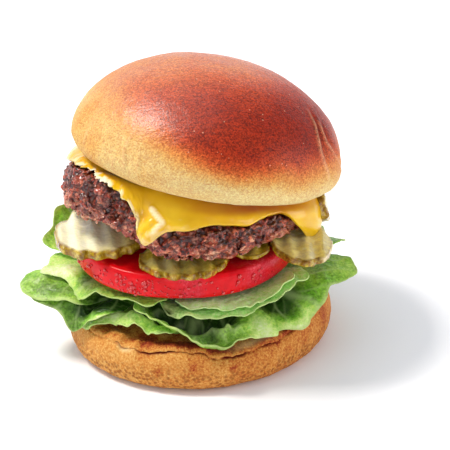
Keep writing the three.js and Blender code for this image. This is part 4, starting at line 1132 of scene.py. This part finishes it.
# painted glints: tiny pale specks over the crust
blister = node(tree, "TexVoronoi", {"Vector": where, "Scale": per(3.4)})
burst = node(tree, "Math", {0: blister, 1: 0.075}, operation="LESS_THAN")
popped = node(tree, "MixRGB", {"Fac": [burst, 0.42], "Color1": grainy, "Color2": "#EFC49C"})
crumb = node(tree, "MixRGB", {"Fac": "crust", "Color1": "#EAD6A8", "Color2": popped})
gloss = node(tree, "MapRange", {"Value": "shine", "To Min": 0.62, "To Max": 0.4})
blisters = node(tree, "TexNoise", {"Vector": where, "Scale": per(0.75), "Detail": 3, "Roughness": 0.7})
combed = node(tree, "Mapping", {"Vector": where, "Rotation": (0, 0, 0.3), "Scale": (0.1, 1, 1)})
strokes = node(tree, "TexNoise", {"Vector": combed, "Scale": per(1.0), "Detail": 2})
surface = node(tree, "Math", {0: strokes, 1: 0.8, 2: blisters}, operation="MULTIPLY_ADD")
relief = node(tree, "Bump", {"Height": surface, "Strength": 1.0, "Distance": 0.4 * MM})
film = node(tree, "Bump", {"Height": surface, "Strength": 1.0, "Distance": 0.15 * MM})
feed(shader, {"Base Color": crumb, "Roughness": gloss, "Normal": relief, "Coat Normal": film,
              "Coat Weight": "wash"})
settle(crown, CROWN["centre"], CROWN["back"], CROWN["right"])
dress(crown, glazed_crust, "glazed_crust", "top_bun")

# ------------------------------------------------------------------ water on the tomato
# Beads of juice and rinsing water that stand on the slice's wet side: flat drops, a few larger.


def droplets(count, seed):
    """Copies of one bead stood on the slice's side, most of them at the front left."""
    drop = blank("tomato_droplets", bpy.ops.mesh.primitive_ico_sphere_add, subdivisions=2, radius=MM)
    shape = points_of(drop)
    draw = np.random.default_rng(seed)
    turn = np.radians(np.where(draw.random(count) < 0.6, draw.normal(-112, 16, count),
                               draw.uniform(-165, -20, count)))
    up = draw.uniform(-4.0, 3.0, count)
    size = 0.3 + 0.62 * draw.random(count) ** 4
    out, side = out_and_side(turn)
    skin = TOMATO["radius"] * tomato_swell(turn) + 0.12 - 0.9 * bell(np.abs(up) - 4.7, 1.2)
    at = out * skin[:, None] + [0, 0, 1] * up[:, None]
    body = (out[:, None] * shape[None, :, :1] * 0.8 + side[:, None] * shape[None, :, 1:2]
            + np.array([0, 0, 1]) * shape[None, :, 2:] * 1.1) * size[:, None, None]
    repeat(drop, body + at[:, None])
    settle(drop, TOMATO["centre"], TOMATO["front"], TOMATO["right"])
    return drop


# Water: clear, tinted by the red skin under it, and seen by its highlights and the lens of each bead.
water, _, _ = material("water", Base_Color="#DC2026", Roughness=0.03, IOR=1.333, Transmission_Weight=0.3,
                       Coat_Weight=1.0)
dress(droplets(150, 81), water, "tomato_flesh")

# ------------------------------------------------------------------ table, light and camera
# A white table under soft studio light: a large lamp high on the left, weaker ones low on the right
# and in front, and a white room round them. The camera looks down at the burger with a long lens.

table = blank("table", bpy.ops.mesh.primitive_plane_add, size=6)
table_white, _, _ = material("table_white", Base_Color="#F8FBFF", Roughness=0.9)
table.data.materials.append(table_white)

CAMERA = {"target": (11.24, 0, 44.29), "distance": 585.0, "elevation": 25.3, "roll": 2.6, "lens": 123.0}


def aim(thing, back, roll=0.0):
    """Points an object's -Z against `back`, its X level but for the roll."""
    back = Vector(back).normalized()
    right = Vector((0, 0, 1)).cross(back).normalized()
    up = back.cross(right)
    c, s = math.cos(math.radians(roll)), math.sin(math.radians(roll))
    basis = Matrix((right * c - up * s, right * s + up * c, back)).transposed()
    thing.rotation_euler = basis.to_euler()


def direction(azimuth, elevation):
    """The way from the burger to something at that azimuth and elevation."""
    a, e = math.radians(azimuth), math.radians(elevation)
    return Vector((math.cos(a) * math.cos(e), math.sin(a) * math.cos(e), math.sin(e)))


bpy.ops.object.camera_add()
camera = bpy.context.object
back = direction(-90, CAMERA["elevation"])
camera.location = (Vector(CAMERA["target"]) + back * CAMERA["distance"]) * MM
aim(camera, back, CAMERA["roll"])
camera.data.lens = CAMERA["lens"]
camera.data.clip_end = 20
bpy.context.scene.camera = camera

# [name, azimuth, elevation, distance in metres, side in metres, watts, colour]
LAMPS = [["key", 174, 62, 1.6, 0.36, 22.0, "#FFF7EE"], ["low_right", -6, 12, 1.0, 0.6, 4.5, "#FFF4EE"],
         ["low_front", -92, 7, 1.4, 0.7, 4.4, "#FFFFFF"]]
for name, azimuth, elevation, distance, side, watts, colour in LAMPS:
    bpy.ops.object.light_add(type="AREA")
    lamp = bpy.context.object
    lamp.name = name
    lamp.data.shape, lamp.data.size, lamp.data.energy = "SQUARE", side, watts
    lamp.data.color = linear(colour)[:3]
    lamp.location = direction(azimuth, elevation) * distance + Vector((0, 0, 0.05))
    aim(lamp, direction(azimuth, elevation))

# The room: white, brightest behind and on the left, dimmer at the front right.
world = bpy.data.worlds.new("studio")
bpy.context.scene.world = world
world.use_nodes = True
room = world.node_tree
way = node(room, "SeparateXYZ", {0: node(room, "TexCoord").outputs["Generated"]})
across = node(room, "Math", {0: way.outputs["Y"], 1: way.outputs["X"]}, operation="SUBTRACT")
ahead = node(room, "Math", {0: way.outputs["Z"], 1: 0.3, 2: across}, operation="MULTIPLY_ADD")
wall = node(room, "MapRange", {"Value": ahead, "From Min": -0.35, "From Max": 0.75, "To Min": 0.46,
                               "To Max": 1.02}, interpolation_type="SMOOTHSTEP")
feed(room.nodes["Background"], {"Strength": wall, "Color": "#F4F8FF"})
bpy.context.scene.view_settings.view_transform = "Standard"
